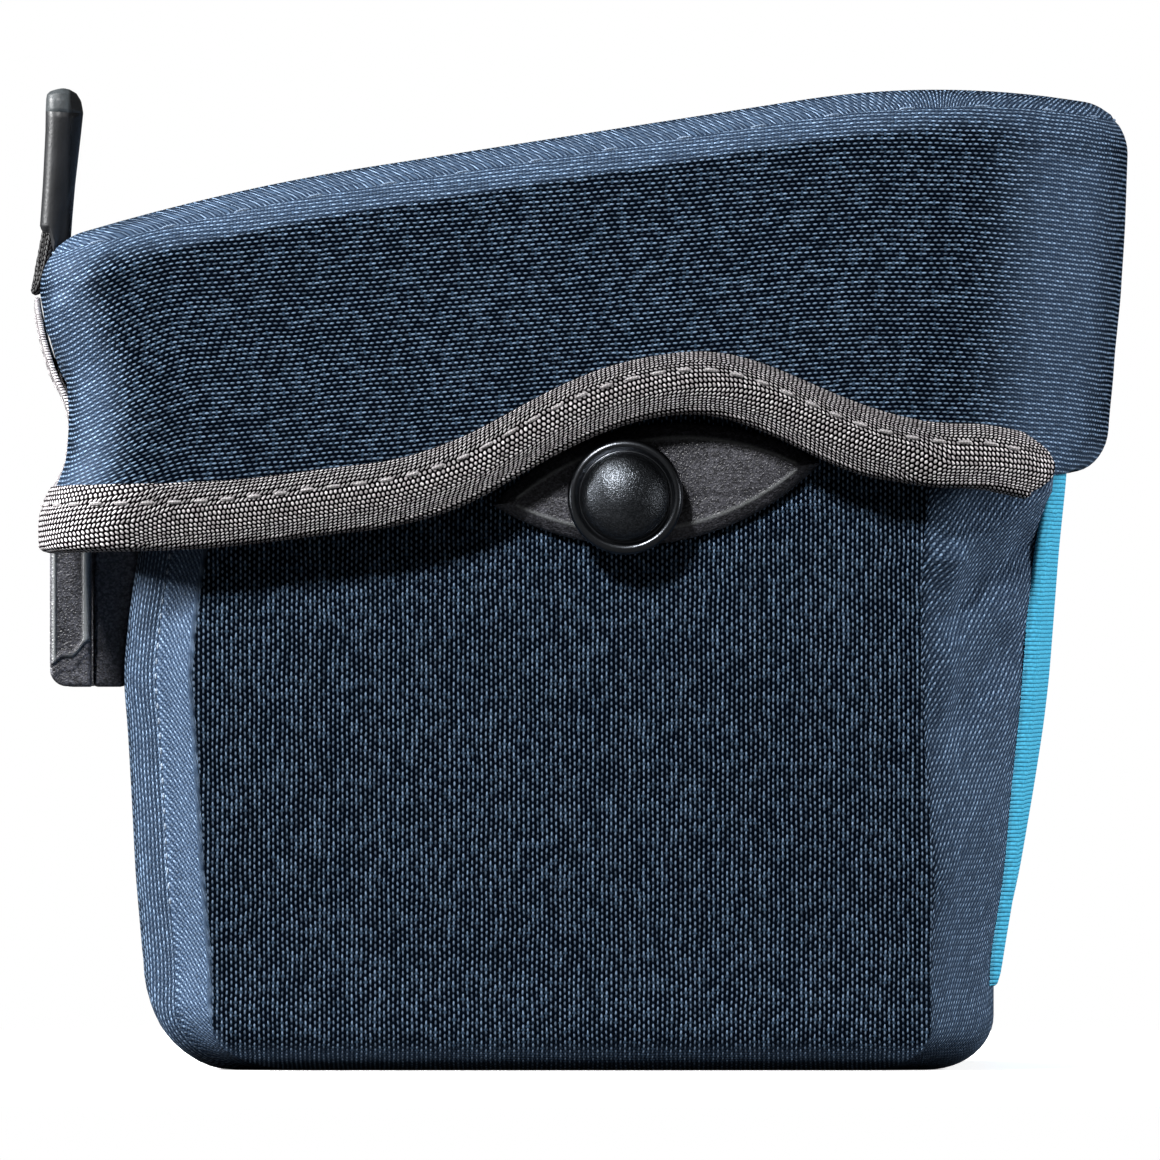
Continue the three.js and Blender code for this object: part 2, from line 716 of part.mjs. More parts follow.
function pull() {
  const corners = 14;
  const sections = pullSections.map((row) => {
    const section = [];
    for (let k = 0; k < corners; k++) {
      const angle = (2 * Math.PI * k) / corners;
      const square = (v) => Math.sign(v) * Math.abs(v) ** 0.7;
      const x = (square(Math.cos(angle)) * row.thickness * pullThickness) / 2 - row.shift * pullThickness;
      const y = (square(Math.sin(angle)) * row.width * pullWidth) / 2;
      section.push(new THREE.Vector3(x, y, row.rise * pullLength));
    }
    return section;
  });
  return loft(sections);
}

// The cord leaves the pull's foot, slants down behind the lid's rim, turns above the tape and runs back up.
// Each row of the route: a share of the way down, and a share of the spread sideways
const cordRoute = [
  [0, 0.9],
  [0.3, 1],
  [0.6, 1],
  [0.9, 0.6],
  [1, 0],
];

function cord() {
  const radius = cordDiameter / 2;
  const low = lidEdge(-lidRear, 0) + tapeWidth + clearance + radius;
  const wall = lidOutline(low).rear + lidOutline(low).rearBelly;
  const strand = cordRoute.map(
    ([down, spread]) =>
      new THREE.Vector3(
        lerp(pullX - pullThickness / 4, -wall - clearance - radius, down),
        spread * cordSpread,
        lerp(pullFoot - clearance - radius / 2, low, down),
      ),
  );
  const back = strand.slice(0, -1).reverse().map((p) => new THREE.Vector3(p.x, -p.y, p.z));
  const section = new THREE.Shape().absarc(0, 0, radius, 0, 2 * Math.PI, false);
  return new THREE.ExtrudeGeometry(section, {
    steps: 20,
    curveSegments: 4,
    bevelEnabled: false,
    extrudePath: new THREE.CatmullRomCurve3([...strand, ...back]),
  });
}

// Assembly

const bag = new THREE.Group();

function add(name, geometry, material) {
  const mesh = new THREE.Mesh(geometry, material);
  mesh.name = name;
  bag.add(mesh);
  return mesh;
}

add("tub", shell(body, bodyNormals, bodyWall, true), navyCloth);
add("lid", shell(lid, lidNormals, lidWall, false), navyCloth);
add("lid_edge_tape", tape(), greyTape);
add("front_panel", frontPanel(), skyCloth);
add("socket_plate", socketPlate(), mattBlack);
add("socket_rails", socketRails(), mattBlack);

for (const [name, side] of [["right", -1], ["left", 1]]) {
  const plate = add(`stud_plate_${name}`, studPlate(), mattBlack);
  plate.position.set(studX + studPlateAhead, side * studWall, studZ + studPlateAbove);
  const knob = add(`stud_${name}`, studKnob(), glossBlack);
  knob.position.set(studX, side * (studFace + clearance), studZ);
  if (side < 0) {
    plate.rotation.set(Math.PI / 2, 0, 0);
    plate.rotateZ(radians(studPlateTilt));
    knob.rotation.set(Math.PI, 0, 0);
  } else {
    plate.rotation.set(-Math.PI / 2, 0, 0);
    plate.rotateZ(-radians(studPlateTilt));
  }
}

const pullMesh = add("pull", pull(), pullRubber);
pullMesh.position.set(pullX, 0, pullFoot);
pullMesh.rotation.set(0, radians(pullLean), 0);
add("pull_cord", cord(), cordBlack);

export default bag;
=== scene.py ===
# %% [markdown]
# # A bicycle handlebar bag
# The bag is a stiffened navy tub with a sky-blue front, under a navy lid whose edge is bound in grey tape.
# A domed stud sits on each side, a moulded socket sits behind, and a small grip on a cord pulls the lid open.
# The solids already exist, so this lesson only dresses them: it loads them, and each cell then makes the
# fine surface of one piece in the place of its plain solid.

# %% Load the solids
import math
from types import SimpleNamespace

import bmesh
import bpy
import numpy as np
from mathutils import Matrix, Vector


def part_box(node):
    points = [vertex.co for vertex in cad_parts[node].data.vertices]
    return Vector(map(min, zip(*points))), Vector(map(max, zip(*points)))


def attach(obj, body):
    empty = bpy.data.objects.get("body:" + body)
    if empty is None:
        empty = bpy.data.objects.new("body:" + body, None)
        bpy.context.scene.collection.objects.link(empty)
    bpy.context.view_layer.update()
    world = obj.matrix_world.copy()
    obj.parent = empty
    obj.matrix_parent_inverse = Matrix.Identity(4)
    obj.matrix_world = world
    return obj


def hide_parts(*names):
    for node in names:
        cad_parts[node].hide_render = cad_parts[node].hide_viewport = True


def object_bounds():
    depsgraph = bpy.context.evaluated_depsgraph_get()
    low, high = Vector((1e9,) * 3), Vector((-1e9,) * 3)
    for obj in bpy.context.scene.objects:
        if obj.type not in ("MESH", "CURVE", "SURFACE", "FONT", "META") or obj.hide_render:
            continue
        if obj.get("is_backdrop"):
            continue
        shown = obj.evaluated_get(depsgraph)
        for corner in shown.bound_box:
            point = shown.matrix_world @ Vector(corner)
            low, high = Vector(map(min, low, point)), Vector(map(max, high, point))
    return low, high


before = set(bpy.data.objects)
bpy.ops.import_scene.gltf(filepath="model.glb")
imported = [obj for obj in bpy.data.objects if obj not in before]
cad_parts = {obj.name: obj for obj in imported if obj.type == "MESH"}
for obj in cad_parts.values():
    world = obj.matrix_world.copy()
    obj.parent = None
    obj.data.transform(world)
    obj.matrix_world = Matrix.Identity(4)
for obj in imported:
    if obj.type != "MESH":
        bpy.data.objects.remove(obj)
solid_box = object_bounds()
print("solids:", ", ".join(sorted(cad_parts)))

# %% [markdown]
# ## Camera
# The photograph looks straight at the bag's right side from far away, so that near and far edges line up.
# A very long lens nine metres off gives that. Its focal length follows from how much the picture takes in
# half-way between the bag's middle and its side wall: it is 1160 pixels wide, at 5.76 pixels to the mm.

# %% Camera
MM = 0.001
pixels_per_mm = 5.76
picture_pixels = 1160
half_way = 53.0  # mm from the middle of the bag towards the camera
camera_distance = 9000.0
camera_x, camera_z = 0.2, 84.7  # mm: what the middle of the photograph looks at
film_width = 36.0

view_width = picture_pixels / pixels_per_mm
camera_data = bpy.data.cameras.new("camera")
camera_data.sensor_width = film_width
camera_data.lens = film_width * (camera_distance - half_way) / view_width
camera_data.clip_end = 100.0
camera = bpy.data.objects.new("camera", camera_data)
camera.location = (camera_x * MM, -camera_distance * MM, camera_z * MM)
camera.rotation_euler = (math.pi / 2, 0.0, 0.0)
bpy.context.scene.collection.objects.link(camera)
bpy.context.scene.camera = camera
bpy.context.scene.view_settings.view_transform = "Standard"
print(f"lens {camera_data.lens:.0f} mm, view {view_width:.1f} mm wide")

# %% [markdown]
# ## Cloth as patches
# Every soft piece here is a bent sheet. A sheet is easiest to describe as a grid of points, so each piece is
# one or more patches: an array of points, and an array of the same shape that says where each point lies on
# the flat cloth, in millimetres. The weave reads that second array, so it keeps its thread spacing wherever
# the sheet bends. Points that fall together are merged, which closes seams and poles.

# %% Sew patches into one mesh
merge_gap = 2e-3  # mm: points closer than this are one


def sew(name, patches, wall=0.0, sharp=180.0):
    """One mesh from patches of (points, cloth), both in mm, with rows that run up and columns that run
    anticlockwise, so that faces point outwards. A patch may hold many small grids along its first axis.
    A face joins four neighbours of its grid. With a wall, the sheet is thickened inwards by that much.
    A patch may also hold a number for each point, kept as the mesh's painted-light attribute. On cloth it runs
    from 0 on flat cloth to 1 where it turns a corner, and there the weave is painted paler as light. On a moulded
    piece it marks where the surface is smooth and painted pale as a highlight, and on the grip dark as shade."""
    places, corners, uses, bends = [], [], [], []
    start = 0
    for points, cloth, *painted_light in patches:
        shape = points.shape[:-1]
        index = start + np.arange(np.prod(shape)).reshape((-1,) + shape[-2:])
        lower, upper = index[:, :-1], index[:, 1:]
        around = np.stack([lower[..., :-1], lower[..., 1:], upper[..., 1:], upper[..., :-1]], -1)
        corners.append(around.reshape(-1, 4))
        places.append(points.reshape(-1, 3) * MM)
        uses.append(cloth.reshape(-1, 2))
        bends.append(painted_light[0].ravel() if painted_light else np.zeros(np.prod(shape)))
        start += int(np.prod(shape))
    corners = np.concatenate(corners)
    places, uses = np.concatenate(places), np.concatenate(uses)
    mesh = bpy.data.meshes.new(name)
    mesh.vertices.add(len(places))
    mesh.vertices.foreach_set("co", places.ravel())
    mesh.loops.add(corners.size)
    mesh.loops.foreach_set("vertex_index", corners.ravel())
    mesh.polygons.add(len(corners))
    mesh.polygons.foreach_set("loop_start", np.arange(0, corners.size, 4))
    mesh.polygons.foreach_set("use_smooth", np.ones(len(corners), dtype=bool))
    mesh.update(calc_edges=True)
    mesh.uv_layers.new(name="cloth").data.foreach_set("uv", uses[corners.ravel()].ravel())
    mesh.attributes.new("painted_light", "FLOAT", "POINT").data.foreach_set("value", np.concatenate(bends))
    work = bmesh.new()
    work.from_mesh(mesh)
    bmesh.ops.remove_doubles(work, verts=work.verts, dist=merge_gap * MM)
    work.to_mesh(mesh)
    work.free()
    mesh.validate()
    mesh.set_sharp_from_angle(angle=math.radians(sharp))
    piece = bpy.data.objects.new(name, mesh)
    bpy.context.scene.collection.objects.link(piece)
    if wall:
        thick = piece.modifiers.new("wall", "SOLIDIFY")
        thick.thickness = wall * MM
        thick.offset = -1.0
        thick.use_even_offset = True
    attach(piece, "root")
    print(f"{name}: {len(mesh.polygons)} faces")
    return piece


def facing(points, closed=True):
    """Outward direction at each point of a grid: the step along its row crossed with the step up its column."""
    grid = points
    if closed:
        grid = np.concatenate([points[:, -2:-1], points, points[:, 1:2]], axis=1)
    along, up = np.gradient(grid, axis=1), np.gradient(grid, axis=0)
    normal = np.cross(along, up)
    normal /= np.maximum(np.linalg.norm(normal, axis=-1, keepdims=True), 1e-9)
    return normal[:, 1:-1] if closed else normal


def bend_of(normal):
    """0 where a wall faces straight along an axis, 1 from about 37 degrees off: the corners between walls."""
    off, level, full = 1 - np.abs(normal).max(axis=-1), 0.015, 0.2
    t = np.clip((off - level) / (full - level), 0, 1)
    return t * t * (3 - 2 * t)


# %% [markdown]
# ## Sizes
# These repeat the sizes of the solids, in millimetres, so that each sheet lies where its solid lies.
# Sections are tables: each row holds shares of the named sizes at one height. A cloth wall has no creases
# where two rows of a table meet, so each column is smoothed over a few millimetres before it is used.

# %% Sizes and sections
clearance = 0.3
bag_height = 170.0
body_half = 78.8  # half the tub's length
body_side = 106.0  # half its width
body_rear_radius, body_front_radius, body_belly = 12.0, 22.0, 2.6
undercuts = {"rear": (15.6, 19.0), "side": (6.0, 7.0), "front": (11.5, 9.5)}  # run and rise under the walls
lid_wall, lid_half = 2.4, 116.0
lid_rear_overhang, lid_front_overhang = 14.4, 16.3
lid_rear_radius, lid_front_radius, lid_rear_belly = 15.0, 34.0, 2.3
lid_edge_radius = 7.5
lid_rear, lid_front = body_half + lid_rear_overhang, body_half + lid_front_overhang
rear_edge, front_edge = 91.3, 103.7  # floor to the lid's lower edge
lid_depth = bag_height - rear_edge
tape_width, tape_thickness = 11.0, 0.9
tuck_height = 7.4

body_table = np.array(
    [  # rise, rear, front, half, rear radius, front radius, belly
        [0.11, 0.955, 0.91, 0.972, 1.0, 0.5, 0.0],
        [0.2, 0.972, 0.943, 0.98, 1.0, 0.6, 0.4],
        [0.28, 0.981, 0.96, 0.987, 1.0, 0.7, 0.8],
        [0.35, 0.99, 0.979, 0.993, 1.0, 0.8, 0.95],
        [0.4, 1.0, 0.99, 0.997, 1.0, 0.85, 1.0],
        [0.46, 0.988, 1.0, 1.0, 1.0, 0.9, 1.0],
        [0.53, 0.965, 1.018, 1.0, 1.0, 0.95, 0.8],
        [0.61, 0.955, 1.052, 1.0, 1.0, 1.0, 0.3],
        [0.7, 0.95, 1.062, 1.0, 1.0, 1.0, 0.0],
        [1.0, 0.94, 1.075, 1.0, 1.0, 1.0, 0.0],
    ]
)
lid_table = np.array(
    [  # rise, rear, front, belly
        [-0.015, 0.87, 0.74, 0.0],
        [0.05, 0.88, 0.745, 0.0],
        [0.093, 0.86, 0.75, 0.0],
        [0.136, 0.76, 0.76, -0.4],
        [0.179, 0.67, 0.77, -0.9],
        [0.266, 0.65, 0.795, -0.9],
        [0.32, 0.66, 0.82, -0.3],
        [0.374, 0.68, 0.85, 0.9],
        [0.46, 0.88, 0.89, 0.45],
        [0.536, 0.97, 0.92, 0.4],
        [0.59, 1.0, 0.93, 0.2],
        [0.698, 1.0, 0.96, 0.0],
        [0.892, 1.0, 1.0, 0.0],
    ]
)


def smooth_columns(table, spread):
    """The table's columns as a function of its first one: straight lines between rows, then averaged with a
    bell-shaped weight over spread."""
    fine = np.linspace(table[0, 0] - spread, table[-1, 0] + spread, 1500)
    weight = np.hanning(max(3, int(spread / (fine[1] - fine[0]))))
    weight /= weight.sum()
    pad = len(weight) // 2

    def average(values):
        padded = np.pad(np.interp(fine, table[:, 0], values), pad, mode="edge")
        return np.convolve(padded, weight, mode="same")[pad : pad + len(fine)]

    columns = [average(values) for values in table.T[1:]]
    return lambda rise: [np.interp(rise, fine, column) for column in columns]


body_columns = smooth_columns(body_table, 0.07)
lid_columns = smooth_columns(lid_table, 0.07)
print("tub rear share at 40% rise:", round(float(body_columns(0.4)[0]), 4))

# %% [markdown]
# ## One ring for both shells
# Seen from above, the tub and the lid are rounded rectangles. A ring position runs from 0 in the middle of
# the rear wall to 31 in the middle of the front: forwards by the right side, and negative by the left. Each
# stretch of wall or corner has its own share of it. The height may differ from point to point, so a sloping
# edge is the same function with a sloping height.

# %% Ring, walls and the lid's edge
stops = np.array([0, 7, 11, 21, 27, 31])  # rear wall, rear corner, side, front corner, front wall
tape_end = 24.0


def bell(t):
    """1 at t = 0 and 0 from t = 1 on, level at both: half of one plus the cosine of pi t."""
    return 0.5 * (1 + np.cos(np.pi * np.minimum(np.abs(t), 1)))


def smoothstep(x, low, high):
    """0 below low, 1 above high, three t squared less two t cubed between."""
    t = np.clip((x - low) / (high - low), 0, 1)
    return t * t * (3 - 2 * t)


def bump(x, middle, width):
    """A smooth hill of height 1 at the middle: e to the minus square of the distance over the width."""
    return np.exp(-(((x - middle) / width) ** 2))


def ring(c, s):
    """Points of a rounded rectangle at ring positions c. A wall is a straight line with a belly, and a corner
    is its centre plus its radius times the cosine and sine. A cut corner leans towards its own chord, most of
    all beside the side wall: there a rear corner ends in a crease, and a front one starts flat."""
    a = np.abs(c)
    kind = np.searchsorted(stops[1:-1], a, side="right")
    t = (a - stops[kind]) / (stops[kind + 1] - stops[kind])
    rear_y, front_y = s.half - s.rear_radius, s.half - s.front_radius
    behind, before = s.rear_radius - s.rear, s.front - s.front_radius
    turn = 0.5 * np.pi * t
    behind_cut = s.cut * smoothstep(t, -0.2, 0.6)
    rear_cos = (1 - behind_cut) * np.cos(turn) + behind_cut * (1 - t)
    rear_sin = (1 - behind_cut) * np.sin(turn) + behind_cut * t
    before_cut = s.front_cut * (1 - smoothstep(t, 0.3, 1.1))
    front_sin = (1 - before_cut) * np.sin(turn) + before_cut * t
    front_cos = (1 - before_cut) * np.cos(turn) + before_cut * (1 - t)
    x = np.choose(
        kind,
        [
            -s.rear - s.rear_belly * bell(t),
            behind - s.rear_radius * rear_cos,
            behind + (before - behind) * t,
            before + s.front_radius * front_sin,
            s.front + s.front_belly * bell(1 - t),
        ],
    )
    y = np.choose(
        kind,
        [
            rear_y * t,
            rear_y + s.rear_radius * rear_sin,
            s.half + 0 * t,
            front_y + s.front_radius * front_cos,
            front_y * (1 - t),
        ],
    )
    return np.stack(np.broadcast_arrays(x, -np.sign(c) * y), axis=-1)


def body_outline(z):
    rear, front, half, rear_radius, front_radius, belly = body_columns(z / bag_height)
    return SimpleNamespace(
        rear=rear * body_half,
        front=front * body_half,
        half=half * body_side,
        rear_radius=rear_radius * body_rear_radius,
        front_radius=front_radius * body_front_radius,
        rear_belly=0.0,
        front_belly=belly * body_belly,
        cut=0.85,
        front_cut=0.62,
    )


def lid_outline(z):
    rear, front, belly = lid_columns((z - rear_edge) / lid_depth)
    return SimpleNamespace(
        rear=body_half + rear * lid_rear_overhang,
        front=body_half + front * lid_front_overhang,
        half=lid_half,
        rear_radius=lid_rear_radius,
        front_radius=lid_front_radius,
        rear_belly=belly * lid_rear_belly,
        front_belly=0.0,
        cut=0.0,
        front_cut=0.0,
    )


def inset(s, run):
    """The same outline with every wall moved in by run."""
    moved = SimpleNamespace(**vars(s))
    for side in ("rear", "front", "half", "rear_radius", "front_radius"):
        setattr(moved, side, getattr(s, side) - run)
    return moved


def raised(flat, z):
    """Flat points with a height each."""
    return np.concatenate([flat, np.broadcast_to(z, flat.shape[:-1])[..., None]], axis=-1)


slope_angle = math.radians(8.8)
slope = math.tan(slope_angle)
rear_droop, rear_run, front_droop, front_run, crown = 4.7, 58.0, 10.5, 57.0, 0.9
peak_run = slope * front_run**2 / (2 * front_droop)
peak_rise = slope * (lid_front - front_run + peak_run) - front_droop * (peak_run / front_run) ** 2
stud_x, stud_wave, wave_behind, wave_ahead = 17.0, 17.3, 55.0, 50.0  # the edge's wave over a stud
socket_wave, socket_reach = 33.2, 80.0  # and its wave over the socket


def lid_top(x, y):
    """Height of the lid's top: a straight slope, less a parabola towards each end and one across."""
    behind = np.maximum(0, rear_run - lid_rear - x) / rear_run
    ahead = np.maximum(0, x - lid_front + front_run) / front_run
    droop = rear_droop * behind**2 + front_droop * ahead**2 + crown * (y / lid_half) ** 2
    return bag_height - peak_rise + slope * x - droop


def lid_edge(x, y):
    """Height of the lid's lower edge: a straight rise to the front, plus one bell over the stud and one over
    the socket."""
    base = rear_edge + (front_edge - rear_edge) * (x + lid_rear) / (lid_front + lid_rear)
    ahead = x - stud_x
    side = stud_wave * bell(ahead / np.where(ahead < 0, wave_behind, wave_ahead))
    return base + side + np.where(x < 0, socket_wave * bell(y / socket_reach), 0.0)


def ring_steps(rear, rear_corner, side, front_corner, front):
    """Ring positions from the middle of the front round the back and to the front again."""
    counts = (rear, rear_corner, side, front_corner, front)
    spans = [np.linspace(stops[k], stops[k + 1], n, endpoint=False) for k, n in enumerate(counts)]
    half = np.concatenate([*spans, stops[-1:]])
    return np.concatenate([-half[::-1], half[1:]])


def arc_at(outline, z, c):
    """Distance along the wall from the middle of the rear, in mm, at ring positions c."""
    fine = np.linspace(-stops[-1], stops[-1], 6201)
    steps = np.linalg.norm(np.diff(ring(fine, outline(np.full(fine.shape, z))), axis=0), axis=1)
    total = np.concatenate([[0], np.cumsum(steps)])
    return np.interp(c, fine, total - np.interp(0, fine, total))


print("lid edge over the stud:", round(float(lid_edge(stud_x, lid_half)), 1), "mm")

# %% [markdown]
# ## Tub
# The tub is one stiffened cloth: a flat base, a soft rounding under each wall, and walls that lean out to the
# front. It could be modelled as a box with loose supports, but then each wall's lean would be moved by hand.
# As rows of rings it is exact: the base's rows shrink to its middle, the rounding's rows step in by one less
# the sine and up by one less the cosine, and the wall's rows follow the section table to the rim. The cloth
# is pulled at a slant round each front corner, and behind over the strip between seam and crease. So each
# patch of the wall turns the threads of its own flat cloth, and on the sides they stand upright.


# %% Tub's surface
tub_c = ring_steps(20, 14, 64, 22, 20)
rear_seam = 9.1  # ring position of the upright seam
mid_height = 80.0  # mm: distances along the tub's wall are measured here
rim_gap = 0.6  # mm between the tub's rim and the lid's top


def tub_wall(c, z):
    return raised(ring(c, body_outline(z)), z)


def undercut(c, angle):
    """The rounding under the walls: angle 0 is the flat base's rim and a right angle is the foot of the wall."""
    s = body_outline(0.0)
    along = ring(c + 0.05, s) - ring(c - 0.05, s)
    ahead = along[..., 1] / np.linalg.norm(along, axis=-1)
    end = np.where(ahead > 0, undercuts["front"][1], undercuts["rear"][1])
    rise = undercuts["side"][1] + (end - undercuts["side"][1]) * ahead**2
    share = 1 - np.sin(angle)
    moved = SimpleNamespace(**vars(s))
    moved.rear = s.rear - undercuts["rear"][0] * share
    moved.front = s.front - undercuts["front"][0] * share
    moved.half = s.half - undercuts["side"][0] * share
    return raised(ring(c, moved), rise * (1 - np.cos(angle))), rise


def rim_height(c):
    """The lid's underside above the top of the tub's wall, less a narrow gap."""
    top = ring(c, body_outline(bag_height))
    return lid_top(top[..., 0], top[..., 1]) - lid_wall / math.cos(slope_angle) - rim_gap


def fold(arc, z, start, end, width, depth):
    """A soft crease or ridge: depth times a bell of the distance to the line from start to end, both given as
    (distance along the wall, height) in mm."""
    start, end = np.array(start), np.array(end)
    run = end - start
    t = np.clip(((arc - start[0]) * run[0] + (z - start[1]) * run[1]) / (run @ run), 0, 1)
    away = np.hypot(arc - start[0] - t * run[0], z - start[1] - t * run[1])
    return depth * bump(away, 0, width)


angles = np.linspace(0, math.pi / 2, 13)[:, None]
rounding, rise = undercut(tub_c[None, :], angles)
base_shares = np.linspace(0, 1, 8)[:-1, None, None]
base = rounding[:1] * base_shares
wall_z = rise + (rim_height(tub_c) - rise) * np.linspace(0, 1, 66)[1:, None]
tub_points = np.concatenate([base, rounding, tub_wall(tub_c[None, :], wall_z)])

tub_arc = np.abs(arc_at(body_outline, mid_height, tub_c))[None, :]
corner_arc = float(arc_at(body_outline, mid_height, 21.0))  # where the front corner starts
seam_arc = float(arc_at(body_outline, mid_height, rear_seam))
height = tub_points[..., 2]
past_corner = tub_arc - corner_arc
corner_folds = [  # (mm past the corner's start, height) of both ends, half width, depth
    ((22, 101), (4, 88), 3.0, 2.0),
    ((21, 90), (6, 78), 3.0, -1.9),
    ((18, 72), (5, 58), 4.2, -2.0),
    ((5, 56), (5, 88), 3.4, 1.4),
    ((12, 44), (4, 36), 6.0, 1.3),
]
relief = sum(fold(past_corner, height, *values) for values in corner_folds)
relief *= 1 - smoothstep(past_corner, 24, 27)
# The side wall is slack low down, and the seam is a welt beside a groove.
side_waves = 0.22 * np.sin(tub_arc / 13.0 + 1.0) * np.sin(height / 17.0) * bump(tub_arc, corner_arc - 60, 70)
relief += side_waves * (1 - smoothstep(height, 70, 84)) * smoothstep(height, 8, 25)
seam = 0.42 * bump(tub_arc, seam_arc + 1.1, 0.9) - 0.4 * bump(tub_arc, seam_arc, 0.45)
relief += seam * smoothstep(height, 16, 30)
relief[: len(base) + 1] = 0
tub_facing = facing(tub_points)
tub_points = tub_points + relief[..., None] * tub_facing

flat_rows = len(base)
climb = np.linalg.norm(np.diff(tub_points[flat_rows:], axis=0), axis=-1)
climb = np.concatenate([np.zeros((1, len(tub_c))), np.cumsum(climb, axis=0)])
climb += undercuts["rear"][1] - climb[len(angles) - 1]
around = np.broadcast_to(arc_at(body_outline, mid_height, tub_c)[None, :], climb.shape)
tub_cloth = np.stack([climb, around], -1)
base_cloth = tub_points[: flat_rows + 1, :, :2]
side_c = np.abs(tub_c)
# Painted light: the cloth is painted paler where it turns a corner, fully on the rear strip between seam and crease
# and less elsewhere, and the front corner is painted pale right up to the panel, over the shade that falls there.
on_strip = smoothstep(side_c, rear_seam - 0.2, rear_seam + 0.1) * (1 - smoothstep(side_c, 10.9, 11.1))
on_front_corner = smoothstep(side_c, 20.9, 21.4) * (1 - smoothstep(side_c, 26.5, 28.5))
tub_painted_light = np.maximum(bend_of(tub_facing), 0.75 * on_front_corner) * (0.56 + 0.44 * on_strip)
tub_patches = [(tub_points[: flat_rows + 1], base_cloth, tub_painted_light[: flat_rows + 1])]
cuts = (-27, -21, -11, -rear_seam, rear_seam, 11, 21, 27)
breaks = [int(np.argmin(np.abs(tub_c - c))) for c in cuts]
cloth_turns = np.radians([0, 33, 0, -38, 0, 38, 0, -33, 0])
for start, end, turn in zip([0, *breaks], [*breaks, len(tub_c) - 1], cloth_turns):
    columns = slice(start, end + 1)
    flat_cloth = tub_cloth[:, columns]
    if 11 < abs(tub_c[(start + end) // 2]) < 21:  # on the side walls the threads stand upright
        flat_cloth = np.stack([flat_cloth[..., 0], tub_points[flat_rows:, columns, 0]], -1)
    cos, sin = math.cos(turn), math.sin(turn)
    turned_cloth = flat_cloth @ [[cos, sin], [-sin, cos]]
    tub_patches.append((tub_points[flat_rows:, columns], turned_cloth, tub_painted_light[flat_rows:, columns]))
tub = sew("tub_cloth", tub_patches, wall=2.0, sharp=15.0)
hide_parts("tub")

# %% [markdown]
# ## Lid
# The lid is a shallow hood: its wall follows its own section table, it turns over a band of about 8 mm to a
# gently sloping top, and in front its edge rolls in to the tub, where the bending cloth is its hinge. On the
# long sides the band is nearly a flat bevel with a crisp lower crease, and round the ends it is a soft arc,
# so one share blends a straight bevel into a circle. Behind, the share is negative: squarer than a circle.

# %% Lid's surface
lid_c = ring_steps(26, 14, 66, 26, 24)
panel_face = body_outline(front_edge + lid_wall)
tuck_depth = float(lid_outline(front_edge).front - panel_face.front - panel_face.front_belly) - 1.6


def lid_foot(c):
    """Height of the lid's lower edge at ring positions c."""
    p = ring(c, lid_outline(np.full(np.shape(c), rear_edge)))
    return lid_edge(p[..., 0], p[..., 1])


def lid_wall_at(c, z):
    return raised(ring(c, lid_outline(z)), z)


def level_facing(c, z):
    """The level direction that faces out of the lid's wall: its run turned by a quarter."""
    along = lid_wall_at(c + 0.03, z) - lid_wall_at(c - 0.03, z)
    out = np.stack([along[..., 1], -along[..., 0], 0 * along[..., 0]], -1)
    return out / np.linalg.norm(out, axis=-1, keepdims=True)


foot = lid_foot(lid_c)
crest = ring(lid_c, lid_outline(np.full(lid_c.shape, bag_height)))
head = lid_top(crest[:, 0], crest[:, 1]) - lid_edge_radius

tucked = smoothstep(np.abs(lid_c), tape_end, tape_end + 2.0)
roll = np.linspace(0, math.pi / 2, 10)[:, None]
roll_z = foot + tuck_height * (1 - np.cos(roll))
rolled = raised(ring(lid_c[None, :], inset(lid_outline(roll_z), tucked * tuck_depth * (1 - np.sin(roll)))), roll_z)

hood_z = foot + tuck_height + (head - foot - tuck_height) * np.linspace(0, 1, 58)[1:, None]
hood = lid_wall_at(lid_c[None, :], hood_z)

band = np.linspace(0, 1, 13)[1:, None]
turn = 0.5 * np.pi * band
a = np.abs(lid_c)
side_bevel, rear_square = 0.62, 0.1
on_side = smoothstep(a, 9.5, 12.5) * (1 - smoothstep(a, 19.5, 23.5))
bevel = side_bevel * on_side - rear_square * (1 - smoothstep(a, 7, 10))
band_in = lid_edge_radius * ((1 - bevel) * (1 - np.cos(turn)) + bevel * band)
band_down = lid_edge_radius * ((1 - bevel) * (1 - np.sin(turn)) + bevel * (1 - band))
band_flat = ring(lid_c[None, :], inset(lid_outline(np.broadcast_to(head, band_in.shape)), band_in))
band_rows = raised(band_flat, lid_top(band_flat[..., 0], band_flat[..., 1]) - band_down)

shares = np.linspace(1, 0, 15)[1:, None, None]
top_flat = band_flat[-1:] * shares
top_rows = raised(top_flat, lid_top(top_flat[..., 0], top_flat[..., 1]))
lid_points = np.concatenate([rolled, hood, band_rows, top_rows])
band_start = len(rolled) + len(hood) - 1
top_start = band_start + len(band_rows)

lid_facing = facing(lid_points)
lid_arc = arc_at(lid_outline, 130.0, lid_c)[None, :]
height = lid_points[..., 2]
rows = np.arange(len(lid_points))[:, None]
side_arc = np.abs(lid_arc)
rear_corner = float(arc_at(lid_outline, 130.0, 9.0))
relief = (
    0.28 * np.sin(lid_arc / 19.0) * np.sin((height + 0.2 * side_arc) / 9.0) * bump(height, 128, 22)
    + fold(side_arc, height, (rear_corner - 8, 128), (rear_corner + 12, 140), 3.0, 0.6)
    + fold(side_arc, height, (rear_corner - 10, 138), (rear_corner + 6, 133), 2.4, -0.6)
)
relief = np.where(rows < band_start, relief, 0.0)
seam_row = band_start + 6
relief += np.where(rows == seam_row, -0.16, 0.0) + np.where(rows == seam_row + 1, 0.12, 0.0)
relief *= smoothstep(height, foot + 13, foot + 22)
lid_points = lid_points + relief[..., None] * lid_facing
